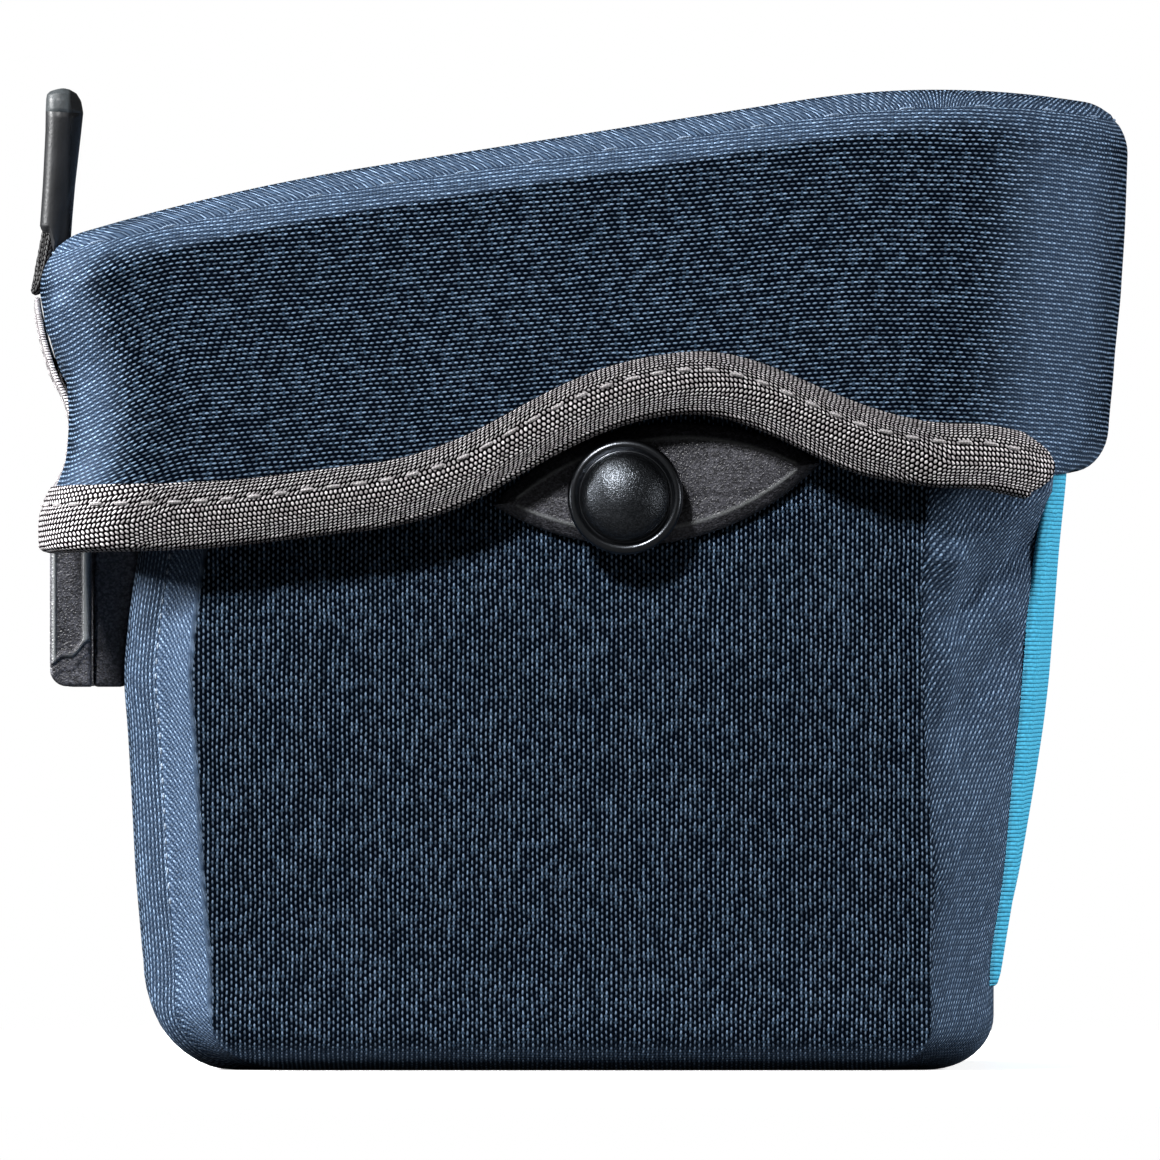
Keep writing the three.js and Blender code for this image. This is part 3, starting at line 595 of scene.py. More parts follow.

# The threads climb forwards along the side, and turn down again before the front corner.
past_middle = np.maximum(0, lid_points[..., 0] - 35)
tilt = 0.09 * lid_points[..., 0] - 0.0021 * past_middle**2
climb = np.linalg.norm(np.diff(lid_points[band_start : top_start + 1], axis=0), axis=-1)
climb = np.concatenate([np.zeros((1, len(lid_c))), np.cumsum(climb, axis=0)])
up = height[: top_start + 1] - tilt[: top_start + 1]
up[band_start:] = up[band_start] + climb
past_corner = float(arc_at(lid_outline, 130.0, 11.6)) - side_arc
corner_fall = 7.0  # mm that the threads run down behind the rear corner
up = up + corner_fall * smoothstep(past_corner, 0, 27)
wall_cloth = np.stack([np.broadcast_to(lid_arc, up.shape), up], -1)[: seam_row + 1]
spread = (climb[-1:] - climb)[seam_row - band_start :, :, None]
level = lid_facing[top_start, :, :2] / np.linalg.norm(lid_facing[top_start, :, :2], axis=-1, keepdims=True)
turned_over = lid_points[top_start, :, :2] + spread * level
top_cloth = np.concatenate([turned_over, lid_points[top_start + 1 :, :, :2]])[..., ::-1]
# Painted light: the lid's walls and band are painted paler where they turn a corner, but not its flat top.
lid_painted_light = np.where(rows > top_start + 2, 0.0, 0.58 * bend_of(lid_facing))
# Towards the front the band's painted light fades, so the band is painted darker there, as shade.
lid_painted_light = lid_painted_light * (1 - 0.4 * (rows >= band_start - 2) * smoothstep(lid_points[..., 0], 20, 85))
lid = sew(
    "lid_cloth",
    [
        (lid_points[: seam_row + 1], wall_cloth, lid_painted_light[: seam_row + 1]),
        (lid_points[seam_row:], top_cloth, lid_painted_light[seam_row:]),
    ],
    wall=2.2,
)
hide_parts("lid")

# %% [markdown]
# ## Edge tape
# Binding tape is a narrow twill ribbon folded over the raw edge and sewn through. It could be a flat strip
# with a bevel, but then it would look like plastic. Here its profile is carried round the edge: down the
# outside with a little puff, a dip where the seam pulls it in, round the edge in a half ellipse, and up the
# inside. Its end stands proud and hangs a little, as a cut end does.

# %% Tape's surface
tape_rows = 26
fall = np.linspace(0, 1, tape_rows)[:, None]  # 0 at the upper edge outside, 1 at the fold
seam_share = 0.34
out_gap = clearance + tape_thickness


def tape_profile(c):
    """For each step of the profile: its share down the tape, its distance out of the lid's wall and its drop
    below the lid's edge."""
    corner = bump(np.abs(c), 9.2, 2.2)
    puff = 0.5 * np.sin(np.pi * np.clip(fall * 1.04, 0, 1)) ** 0.7 - 0.3 * bump(fall, seam_share, 0.06)
    outside = out_gap + puff + 1.5 * corner * fall**2 + 0 * c
    half_turn = np.linspace(0, math.pi, 9)[1:-1, None]
    middle = -lid_wall / 2
    reach = out_gap + lid_wall / 2
    under = middle + reach * np.cos(half_turn) + 1.5 * corner * (0.5 + 0.5 * np.cos(half_turn))
    inside = -lid_wall - out_gap + 0 * fall[::-1] + 0 * c
    share = np.concatenate([fall, 1 + 0 * half_turn, fall[::-1]]) + 0 * c
    out = np.concatenate([outside, under + 0 * c, inside])
    down = np.concatenate([0 * fall, out_gap * np.sin(half_turn), 0 * fall]) + 0 * c
    return share, out, down


profile_end, cut_end = 24.1, 23.92  # ring positions: the cut end bulges no further than the second
reach = np.linspace(-1, 1, 301)[None, :]
share, out, down = tape_profile(profile_end * reach)
past = np.where(share < 0.55, 0.8 * ((0.55 - share) / 0.55) ** 2.4, 0.5 * ((share - 0.55) / 0.45) ** 2)
tape_c = reach * (cut_end - past)
edge = lid_foot(tape_c)
along_x = ring(tape_c, lid_outline(edge))[..., 0]
near_end = smoothstep(along_x, 48, 56)
end_droop = 3.4  # mm that the cut end hangs
sags = [(0.9, -62, 18), (2.0, 36, 16), (0.4, 12, 12), (0.6, -75, 25), (0.9, -20, 9), (0.6, 46, 9)]
pinches = [(-0.5, -20, 18), (1.0, 14, 12), (-0.63, -20, 9), (-0.42, 46, 9)]


def hills(rows):
    """The sum of hills, each given as its height in mm, its place along the side and its width."""
    return sum(size * bump(along_x, middle, width) for size, middle, width in rows)


hang = end_droop * smoothstep(np.abs(tape_c), 21.9, profile_end) + 0.5 * (1 - near_end) + hills(sags)
narrow = 0.5 + 0.5 * near_end + hills(pinches)
tape_z = edge + (tape_width - narrow) * (1 - share)
tape_points = lid_wall_at(tape_c, tape_z) + out[..., None] * level_facing(tape_c, tape_z)
tape_points[..., 2] -= down + hang
tape_points = tape_points[::-1]
tape_arc = arc_at(lid_outline, 100.0, tape_c)[::-1]
past_corner = float(arc_at(lid_outline, 100.0, 12.0)) - np.abs(tape_arc)
across = np.linalg.norm(np.diff(tape_points, axis=0), axis=-1)
across = np.concatenate([np.zeros((1, across.shape[1])), np.cumsum(across, axis=0)])
tape_cloth = np.stack([tape_arc, across - across[-1:] + 4.0 * smoothstep(past_corner, 0, 36)], -1)
tape = sew("edge_tape", [(tape_points, tape_cloth)], wall=0.85)
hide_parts("lid_edge_tape")

# %% [markdown]
# ## Front panel
# The bright front is a second, ribbed cloth laid over the tub's front wall. It follows that wall, a little
# further out. Its edges turn down to the tub in a quarter circle, so that they don't look cut from board.

# %% Front panel's surface
panel_start = 25.9  # a little way round the tub's front corner
panel_low, panel_roll = 14.5, 0.6  # its lower edge, and how far its edges take to turn down to the tub
ring_mm = 6.0  # mm of wall for one step of the ring, about here
turn_steps = 1 - np.cos(np.linspace(0, math.pi / 2, 6))[:-1]
panel_right = np.concatenate(
    [panel_start + turn_steps * panel_roll / ring_mm, np.linspace(panel_start + panel_roll / ring_mm, 31, 30)]
)
panel_c = np.concatenate([panel_right, -panel_right[-2::-1]])
panel_rows = [panel_low + turn_steps * panel_roll, np.linspace(panel_low + panel_roll, front_edge + 8.0, 58)]
panel_z = np.concatenate(panel_rows)[:, None]
panel_wall = tub_wall(panel_c[None, :], panel_z + 0 * panel_c)
edge_in = np.minimum(panel_z - panel_low, (np.abs(panel_c) - panel_start)[None, :] * ring_mm)
turned_down = np.sqrt(1 - (1 - np.clip(edge_in / panel_roll, 0, 1)) ** 2)
lift = -0.08 + 0.5 * turned_down + 1.1 * (1 - np.exp(-edge_in / 2.0))
panel_points = panel_wall + lift[..., None] * facing(panel_wall, closed=False)
panel_cloth = np.stack([panel_points[..., 1], panel_points[..., 2]], -1)
panel = sew("front_panel_cloth", [(panel_points, panel_cloth)], wall=0.3)
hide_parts("front_panel")

# %% [markdown]
# ## Stitches
# A lock stitch shows as short raised threads with gaps between them. All the stitches of a seam are one
# array: a small spindle, thick in the middle and closed to a point at both ends, laid at each step of the
# seam's line and turned to the surface there.


# %% Stitches
def stitches(name, path, normals, pitch, length, radius, sink=0.0):
    """Spindles along a line on a surface: their radius is the square root of one less the fourth power of the
    share from their middle, and their ends sink into the cloth."""
    steps = np.linalg.norm(np.diff(path, axis=0), axis=1)
    distance = np.concatenate([[0], np.cumsum(steps)])
    middle = (np.arange(int(distance[-1] // pitch)) + 0.5) * pitch
    along = np.linspace(-1, 1, 7)
    at = middle[:, None] + 0.5 * length * along
    centre, up = (np.stack([np.interp(at, distance, v) for v in values.T], -1) for values in (path, normals))
    run = np.gradient(centre, axis=1)
    run /= np.linalg.norm(run, axis=-1, keepdims=True)
    up /= np.linalg.norm(up, axis=-1, keepdims=True)
    side = np.cross(up, run)
    swell = radius * np.sqrt(1 - along**4)[None, :, None, None]
    angle = np.linspace(0, 2 * np.pi, 9)[None, None, :, None]
    lift = (radius * 0.35 - sink - 0.9 * radius * along**2)[None, :, None, None]
    spindle = np.cos(angle) * side[:, :, None] + np.sin(angle) * up[:, :, None]
    points = centre[:, :, None] + lift * up[:, :, None] + swell * spindle
    cloth = np.stack(np.broadcast_arrays(at[:, :, None], radius * angle[..., 0]), -1)
    piece = sew(name, [(points, cloth)])
    print(f"{name}: {len(middle)} stitches, {pitch} mm apart")
    return piece


lid_thread = stitches("lid_seam_stitches", lid_points[seam_row], lid_facing[seam_row], 12.9, 3.2, 0.26)
seam_line = -1 - int(round(seam_share * (tape_rows - 1)))
tape_facing = facing(tape_points, closed=False)
tape_thread = stitches(
    "tape_stitches", tape_points[seam_line, 3:-3], tape_facing[seam_line, 3:-3], 4.6, 2.9, 0.36
)
tub_threads = []
for name, side in (("right", 1), ("left", -1)):
    column = int(np.argmin(np.abs(tub_c - side * rear_seam)))
    line = slice(flat_rows + 20, flat_rows + 60)
    tub_threads.append(
        stitches(f"tub_seam_{name}", tub_points[line, column], tub_facing[line, column], 2.6, 1.3, 0.2)
    )

# %% [markdown]
# ## Stud
# The stud is turned about its axis: a stem, a rim with a raised lip, a groove and a domed head. Its profile
# is a short list of points, rounded by averaging neighbours along it, and swept round in a circle.


# %% Studs
def turned(profile, blend, steps=96):
    """A profile of (radius, height) rows swept round: x and y are the radius times the cosine and sine."""
    profile = np.array(profile, dtype=float)
    length = np.concatenate([[0], np.cumsum(np.linalg.norm(np.diff(profile, axis=0), axis=1))])
    fine = np.linspace(0, length[-1], 160)
    dense = np.stack([np.interp(fine, length, v) for v in profile.T], -1)
    reach = np.arange(-blend, blend + 1)
    index = np.clip(np.arange(len(dense))[:, None] + reach, 0, len(dense) - 1)
    dense[blend:-blend] = dense[index].mean(axis=1)[blend:-blend]
    angle = np.linspace(0, 2 * np.pi, steps + 1)
    radius, rise = dense[:, :1], dense[:, 1:]
    return np.stack([radius * np.cos(angle), radius * np.sin(angle), rise + 0 * angle], -1)


head_radius, head_foot, head_rise = 7.7, 4.5, 4.9
head_angle = np.linspace(0, math.pi / 2, 12)[1:]
dome = np.stack([head_radius * np.cos(head_angle), head_foot + head_rise * np.sin(head_angle)], -1)
stem = [[0, 0], [5, 0], [5, 2.6]]
rim = [[9.2, 2.6], [10, 3.2], [10, 4.2], [9.5, 4.95], [8.7, 5.05], [8.1, 4.5], [7.75, 4.4]]
stud_profile = np.concatenate([stem, rim, dome])
stud_local = turned(stud_profile, 2)
stud_cloth = np.stack([stud_local[..., 0], stud_local[..., 1]], -1)
# The rim is smooth, and its metal is painted a little paler as a highlight.
rim_polish_and_highlight = 0.85 * smoothstep(np.hypot(stud_local[..., 0], stud_local[..., 1]), 7.4, 7.9)  # the rim is smooth
studs = []
for name, side in (("right", -1), ("left", 1)):
    low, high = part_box(f"stud_{name}")
    x0, z0 = (low[0] + high[0]) / 2 / MM, (low[2] + high[2]) / 2 / MM
    y0 = (high[1] if side < 0 else low[1]) / MM
    placed = np.stack([x0 + stud_local[..., 0], y0 + side * stud_local[..., 2], z0 - side * stud_local[..., 1]], -1)
    stud = sew(f"stud_cap_{name}", [(placed, stud_cloth, rim_polish_and_highlight)], sharp=60.0)
    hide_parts(f"stud_{name}")
    studs.append(stud)
    print(f"stud {name} at x {x0:.1f}, z {z0:.1f} mm")

# %% [markdown]
# ## Stud plate
# The leaf-shaped plate under each stud is moulded with a slightly crowned face, a bevelled rim and a faint
# line where the mould's halves met. Its outline is two circular arcs; across it the face is flat with a
# bevel, and the bevel narrows to nothing at the pointed ends.

# %% Stud plates
plate_half, plate_rise, plate_depth = 28.5, 10.25, 3.0
arc_radius = (plate_half**2 + plate_rise**2) / (2 * plate_rise)
plate_x = plate_half * np.sin(np.linspace(-math.pi / 2, math.pi / 2, 90))[:, None]
leaf = np.sqrt(arc_radius**2 - plate_x**2) - (arc_radius - plate_rise)
leaf = np.maximum(leaf, 0.0)
across = np.concatenate([[-1], np.linspace(-1, 1, 61), [1]])[None, :]
bevel_width, bead_width, plate_edge, plate_crown = 2.4, 0.3, 0.9, 0.25
rim = np.minimum(leaf, bevel_width)
inside = np.clip((1 - np.abs(across)) * leaf / np.maximum(rim, 1e-6), 0, 1)
sloped = 0.6 * inside + 0.4 * np.sqrt(np.maximum(0, 1 - (1 - inside) ** 2))
face = plate_edge + (plate_depth - plate_edge - plate_crown) * sloped
bead = bump((1 - np.abs(across)) * leaf, bevel_width + 0.1, bead_width) * (leaf > 3)
face = face + 0.14 * bead
tip = math.radians(7.3)
level_line = across * leaf * math.cos(tip) + plate_x * math.sin(tip) + 2.2
face = face + plate_crown * (1 - across**2) - 0.1 * bump(level_line, 0, 0.28) * (leaf > 3)
face[:, 0] = face[:, -1] = 0.0
front_grid = np.stack([plate_x + 0 * across, across * leaf, face], -1)
back_grid = np.stack([plate_x + 0 * across, -across * leaf, 0 * across * leaf], -1)
plate_cloth = front_grid[..., :2]
# Painted highlight: the bead along the bevel is painted pale.
polish_and_highlight = 0.5 * bead
plates = []
for name, side in (("right", -1), ("left", 1)):
    low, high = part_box(f"stud_plate_{name}")
    x0, z0 = (low[0] + high[0]) / 2 / MM, (low[2] + high[2]) / 2 / MM
    y0 = (high[1] if side < 0 else low[1]) / MM

    def lay(grid):
        """Turns the plate by its tilt and stands it on the tub's side wall."""
        across_x = grid[..., 0] * math.cos(tip) - grid[..., 1] * math.sin(tip)
        up_z = grid[..., 0] * math.sin(tip) + grid[..., 1] * math.cos(tip)
        return np.stack([x0 + across_x, y0 + side * grid[..., 2], z0 + up_z], -1)

    grids = [lay(front_grid), lay(back_grid)]
    if side < 0:
        grids = [g.transpose(1, 0, 2) for g in grids]
    cloth = plate_cloth.transpose(1, 0, 2) if side < 0 else plate_cloth
    bead_highlight = polish_and_highlight.T if side < 0 else polish_and_highlight
    plate = sew(f"stud_leaf_{name}", [(grids[0], cloth, bead_highlight), (grids[1], cloth, 0 * bead_highlight)], sharp=50.0)
    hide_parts(f"stud_plate_{name}")
    plates.append(plate)

# %% [markdown]
# ## Socket
# The socket is injection moulded: its form is right in the solids, but a real moulding has no knife edges.
# A copy of each solid is merged to one skin, its flat faces are joined, and a Bevel modifier rounds what is
# left sharp, as the fillets in a mould do.


# %% Socket
def rounded_copy(name, node, width):
    """A copy of a solid with its loose triangles merged and its edges rounded."""
    crease = math.radians(30)
    piece = bpy.data.objects.new(name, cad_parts[node].data.copy())
    bpy.context.scene.collection.objects.link(piece)
    work = bmesh.new()
    work.from_mesh(piece.data)
    bmesh.ops.remove_doubles(work, verts=work.verts, dist=0.01 * MM)
    bmesh.ops.dissolve_limit(work, angle_limit=math.radians(2), verts=work.verts, edges=work.edges)
    work.to_mesh(piece.data)
    work.free()
    piece.data.set_sharp_from_angle(angle=crease)
    soft = piece.modifiers.new("fillets", "BEVEL")
    soft.width = width * MM
    soft.segments = 3
    soft.limit_method = "ANGLE"
    soft.angle_limit = crease
    soft.harden_normals = True
    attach(piece, "root")
    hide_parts(node)
    print(f"{name}: {len(piece.data.polygons)} faces before its fillets")
    return piece


socket_back = rounded_copy("socket_back_plate", "socket_plate", 0.8)
socket_rails = rounded_copy("socket_rail_frame", "socket_rails", 0.5)

# %% [markdown]
# The side of the rails carries a moulded pad: a smooth raised frame round a grained field, which stops in a
# curved sill above a lower ledge. It is a height over the flat side, so a grid and one formula describe it.

# %% Socket pads
low, high = (np.array(corner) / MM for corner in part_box("socket_rails"))
pad_x = np.linspace(low[0] + 0.05, high[0] - 0.05, 73)[:, None]
pad_top, pad_corner = low[2] + 31.0, 3.0
from_rear, from_front = pad_x - low[0], high[0] - pad_x
in_corner = np.maximum(0, pad_corner - from_rear)
pad_low = low[2] + 0.1 + pad_corner - np.sqrt(pad_corner**2 - in_corner**2)
pad_z = pad_low + (pad_top - pad_low) * np.linspace(0, 1, 170)[None, :]
sill = low[2] + 4.9 + 2.9 * (1 - smoothstep(from_front, 0.2, 3.6)) - 1.5 * (1 - smoothstep(from_rear, 0.0, 2.6))
over = pad_z - sill
to_edge = np.minimum(np.minimum(from_rear, from_front), np.minimum(pad_top - pad_z, pad_z - pad_low))
swell = np.sqrt(1 - (1 - np.clip(to_edge / 0.8, 0, 1)) ** 2)
raised_pad = 0.35 + 0.75 * smoothstep(over, 0.0, 0.7) + 0.2 * smoothstep(over, -2.2, -1.7)
field = smoothstep(from_rear, 0.9, 1.3) * smoothstep(from_front, 1.3, 1.7) * smoothstep(over, 1.2, 1.6)
# Painted highlight: the smooth frame and the curved sill are painted pale.
polish_and_highlight = np.maximum(0.85 * bump(from_front, 0.95, 0.5), 0.6 * bump(from_rear, 0.75, 0.3)) * smoothstep(over, 0.2, 1.0)
polish_and_highlight = np.maximum(polish_and_highlight, 0.55 * bump(over, 0.5, 0.3) * (1 - smoothstep(from_front, 3.2, 5.5)))
pad_height = swell * raised_pad - 0.55 * field - 0.25 * (1 - swell)
pad_height[:, :1] = pad_height[:, -1:] = pad_height[:1] = pad_height[-1:] = -0.3
flat_x, flat_z = np.broadcast_arrays(pad_x, pad_z)
pads = []
for name, side in (("right", -1), ("left", 1)):
    y0 = low[1] if side < 0 else high[1]
    grids = [np.stack([flat_x, y0 + side * h, flat_z], -1) for h in (pad_height, -0.3 + 0 * pad_height)]
    grids[side > 0] = grids[side > 0][::-1]
    smooth = [polish_and_highlight, np.zeros_like(field)]
    smooth[side > 0] = smooth[side > 0][::-1]
    grids = [g.transpose(1, 0, 2) for g in grids]
    pad = sew(f"socket_pad_{name}", [(g, g[..., ::2], m.T) for g, m in zip(grids, smooth)], sharp=50.0)
    pads.append(pad)

# %% [markdown]
# ## Pull and cord
# The grip is a moulded tab with a rounded cap of its own, and the cord is a thin braid that leaves its foot
# and turns under the lid's rear edge. The grip is a stack of rounded-square sections, cut in two at the
# cap's groove; the cord is a circle carried along its line, with shallow strands twisting round it.

# %% Pull
pull_table = np.array(
    [  # rise, thickness, width, shift
        [0.0, 0.5, 0.55, 0.06],
        [0.02, 0.72, 0.74, 0.06],
        [0.05, 0.84, 0.9, 0.05],
        [0.35, 0.86, 0.95, 0.03],
        [0.7, 0.95, 1.0, 0.0],
        [0.84, 1.0, 1.0, 0.0],
        [0.92, 0.93, 0.95, 0.04],
        [0.97, 0.78, 0.8, 0.1],
        [0.995, 0.52, 0.52, 0.16],
        [1.0, 0.3, 0.3, 0.17],
    ]
)
pull_length, pull_width, pull_thickness, pull_lean = 25.5, 8.6, 6.6, math.radians(3.4)
pull_x = -lid_rear + 2.1
pull_foot = float(lid_top(pull_x + pull_thickness / 2, 0.0)) + clearance
rise = np.concatenate([np.linspace(0, 0.06, 8), np.linspace(0.06, 0.94, 60)[1:], np.linspace(0.94, 1, 14)[1:]])
thick, wide, shift = (np.interp(rise, pull_table[:, 0], column)[:, None] for column in pull_table.T[1:])
turn = np.linspace(0, 2 * np.pi, 65)[None, :]
tall = rise[:, None]
ahead = np.cos(turn)  # 1 on the side that faces the bag
px = np.sign(ahead) * np.abs(ahead) ** 0.72 * thick * pull_thickness / 2 - shift * pull_thickness
narrowed = 1 - 0.3 * np.clip(ahead + 0.2, 0, 1.2) ** 1.5
tongue = smoothstep(px, -0.2 + 6.4 * tall - 0.5, 0.3 + 6.4 * tall + 0.3) * (1 - smoothstep(tall, 0.22, 0.4))
py = np.sign(np.sin(turn)) * np.abs(np.sin(turn)) ** 0.72 * wide * pull_width / 2 * narrowed * (1 - 0.22 * tongue)
cap_height = 21.2  # mm from the foot to the groove under the cap
py = py * (1 - 0.06 * bump(tall * pull_length, cap_height, 0.25))
pz = tall * pull_length - 3.4 * smoothstep(px, -1.5, -0.3) * (1 - smoothstep(tall, 0.0, 0.14))
pz = pz - 0.6 * smoothstep(-px, 0.3, 3.2) * smoothstep(tall, 0.9, 1.0)
lean_x = pull_x + px * math.cos(pull_lean) + pz * math.sin(pull_lean)
lean_z = pull_foot - px * math.sin(pull_lean) + pz * math.cos(pull_lean)
pull_points = np.stack([lean_x, py, lean_z], -1)
# Painted shade: the side that faces the bag is painted darker.
painted_shade_side = smoothstep(px + 0.045 * pz, 1.5, 2.1)  # the darker side, which faces the bag


def closed_tube(name, rows):
    """The grip's rows as a tube whose two ends are closed: each ends in its own middle."""
    ring_rows, shade = pull_points[rows], painted_shade_side[rows]
    middles = [ring_rows[k, :-1].mean(axis=0) + 0 * ring_rows[k] for k in (0, -1)]
    half_in = [0.5 * (middle + edge) for middle, edge in zip(middles, (ring_rows[0], ring_rows[-1]))]
    points = np.stack([middles[0], half_in[0], *ring_rows, half_in[1], middles[1]])
    shades = np.stack([shade[0], shade[0], *shade, shade[-1], shade[-1]])
    piece = sew(name, [(points, points[..., 1:], shades)], sharp=50.0)
    return piece


cap_row = int(np.argmin(np.abs(rise * pull_length - cap_height)))
pull = closed_tube("pull_grip", slice(0, cap_row + 1))
pull_cap = closed_tube("pull_cap", slice(cap_row, None))
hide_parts("pull")

# %% Cord
cord_radius, cord_spread = 0.85, 1.7
cord_route = np.array([[0, 0.9], [0.3, 1], [0.6, 1], [0.9, 0.6], [1, 0]])  # share down, share of the spread
cord_low = float(lid_edge(-lid_rear, 0.0)) + tape_width - 0.2
low_outline = lid_outline(cord_low)
cord_wall = float(low_outline.rear + low_outline.rear_belly)
start = np.array([pull_x - pull_thickness / 4, pull_foot + 1.4])
finish = np.array([-cord_wall - clearance - cord_radius, cord_low])
strand = np.stack(
    [
        start[0] + (finish[0] - start[0]) * cord_route[:, 0],
        -cord_route[:, 1] * cord_spread,
        start[1] + (finish[1] - start[1]) * cord_route[:, 0],
    ],
    -1,
)
nearer_lid = strand + cord_route[:, 1:] * [0.9, 0.0, 0.0]
knots = np.concatenate([nearer_lid, (strand * [1, -1, 1])[-2::-1]])


def through(knots, count):
    """A smooth line through the knots: each stretch is the cubic that matches half the step between the
    neighbours of each of its two ends."""
    padded = np.concatenate([[2 * knots[0] - knots[1]], knots, [2 * knots[-1] - knots[-2]]])
    at = np.linspace(0, len(knots) - 1 - 1e-9, count)
    k = at.astype(int)
    t = (at - k)[:, None]
    p0, p1, p2, p3 = (padded[k + i] for i in range(4))
    return 0.5 * (
        2 * p1 + (p2 - p0) * t + (2 * p0 - 5 * p1 + 4 * p2 - p3) * t**2 + (3 * p1 - p0 - 3 * p2 + p3) * t**3
    )


def tube(path, radius, steps=24, strands=0, pitch=4.0, depth=0.0):
    """A circle carried along a path. Its radius swells where a strand passes: by depth times the cosine of
    the turn round the tube, less the turns that the strand has made by then."""
    run = np.gradient(path, axis=0)
    run /= np.linalg.norm(run, axis=1, keepdims=True)
    side = np.cross(run, [0.0, 0.3, 1.0])
    side /= np.linalg.norm(side, axis=1, keepdims=True)
    up = np.cross(run, side)
    gone = np.concatenate([[0], np.cumsum(np.linalg.norm(np.diff(path, axis=0), axis=1))])[:, None]
    angle = np.linspace(0, 2 * np.pi, steps + 1)[None, :]
    twist = 2 * np.pi * gone / pitch
    swell = np.cos(strands * angle - twist) * np.cos(strands * angle + twist) if strands else 0 * gone
    size = (radius + depth * swell)[..., None] if strands else radius + 0 * angle[..., None]
    outward = np.cos(angle)[..., None] * side[:, None] + np.sin(angle)[..., None] * up[:, None]
    points = path[:, None] + size * outward
    ends = [np.broadcast_to(path[k], points[:1].shape) for k in (0, -1)]
    cloth = np.stack(np.broadcast_arrays(gone, radius * angle), -1)
    return np.concatenate([ends[0], points, ends[1]]), np.concatenate([cloth[:1], cloth, cloth[-1:]])


cord_line = through(knots, 170)
cord = sew("pull_cord_braid", [tube(cord_line, cord_radius, strands=4, pitch=3.0, depth=0.07)])
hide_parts("pull_cord")

# %% [markdown]
# ## Materials
# Each finish starts from the real one: navy cloth woven from two-tone yarn, ribbed sky-blue cloth, twill
# tape, moulded plastic with a fine grain, black nickel on the stud, rubber and a braid. Colours are written
# as sRGB hex and turned to linear light once, and one function adds any node with its settings and links.


# %% Colours and nodes
def linear(code, alpha=1.0):
    """An sRGB hex colour in linear light: below 0.04045 divide by 12.92, above it the 2.4 power."""
    parts = np.array([int(code[k : k + 2], 16) for k in (1, 3, 5)]) / 255
    light = np.where(parts <= 0.04045, parts / 12.92, ((parts + 0.055) / 1.055) ** 2.4)
    return (*map(float, light), alpha)


def add(tree, kind, inputs=(), **settings):
    """Adds one node: settings are its properties, and inputs are values or the sockets that feed them."""
    new = tree.nodes.new("ShaderNode" + kind)
    for name, value in settings.items():
        setattr(new, name, value)
    for socket, value in dict(inputs).items():
        if isinstance(value, bpy.types.NodeSocket):
            tree.links.new(value, new.inputs[socket])
        else:
            new.inputs[socket].default_value = value
    return new


def finish_named(name, **constants):
    """An empty material with its shader, whose constants are set on the shader's own sockets."""
    material = bpy.data.materials.new(name)
    material.use_nodes = True
    shader = material.node_tree.nodes["Principled BSDF"]
    for socket, value in constants.items():
        shader.inputs[socket.replace("_", " ")].default_value = value
    return material, material.node_tree, shader


def dress(material, *pieces):
    for piece in pieces:
        piece.data.materials.clear()
        piece.data.materials.append(material)


# %% [markdown]
# ### A weave from dashes
# Seen close, a plain weave is a field of short dashes: each is a yarn that comes up, passes over one crossing
# and dips again, and each row is shifted by half a step. A brick texture has the same layout, but its bricks
# are sharp boxes. Here the cloth's millimetres are cut into cells, and the distance from a cell's middle
# gives an oval, which is right both as a colour mask and as the height of a rounded thread.


# %% Dashes
def dashes(tree, place, step, row, length, breadth):
    """Ovals length by breadth mm, step mm apart along a row and row mm from row to row, each row shifted by
    half a step. Gives the square root of one less the squared distance from the middle, in half sizes, and a
    random number for each oval."""
    parts = add(tree, "SeparateXYZ", {0: place})
    v = add(tree, "Math", {0: parts.outputs[1], 1: 1 / row}, operation="MULTIPLY").outputs[0]
    line = add(tree, "Math", {0: v}, operation="FLOOR").outputs[0]
    half = add(tree, "Math", {0: line, 1: 0.5}, operation="MULTIPLY").outputs[0]
    shift = add(tree, "Math", {0: half}, operation="FRACT").outputs[0]
    u = add(tree, "Math", {0: parts.outputs[0], 1: 1 / step, 2: shift}, operation="MULTIPLY_ADD").outputs[0]
    grid = add(tree, "CombineXYZ", {0: u, 1: v}).outputs[0]
    cell = add(tree, "VectorMath", {0: grid}, operation="FLOOR").outputs[0]
    inner = add(tree, "VectorMath", {0: grid}, operation="FRACTION").outputs[0]
    off = add(tree, "VectorMath", {0: inner, 1: (0.5, 0.5, 0.0)}, operation="SUBTRACT").outputs[0]
    size = (2 * step / length, 2 * row / breadth, 0.0)
    far = add(tree, "VectorMath", {0: off, 1: size}, operation="MULTIPLY").outputs[0]
    square = add(tree, "VectorMath", {0: far, 1: far}, operation="DOT_PRODUCT").outputs["Value"]
    rest = add(tree, "Math", {0: 1.0, 1: square}, operation="SUBTRACT", use_clamp=True).outputs[0]
    oval = add(tree, "Math", {0: rest}, operation="SQRT").outputs[0]
    return oval, add(tree, "TexWhiteNoise", {"Vector": cell}, noise_dimensions="3D").outputs["Value"]
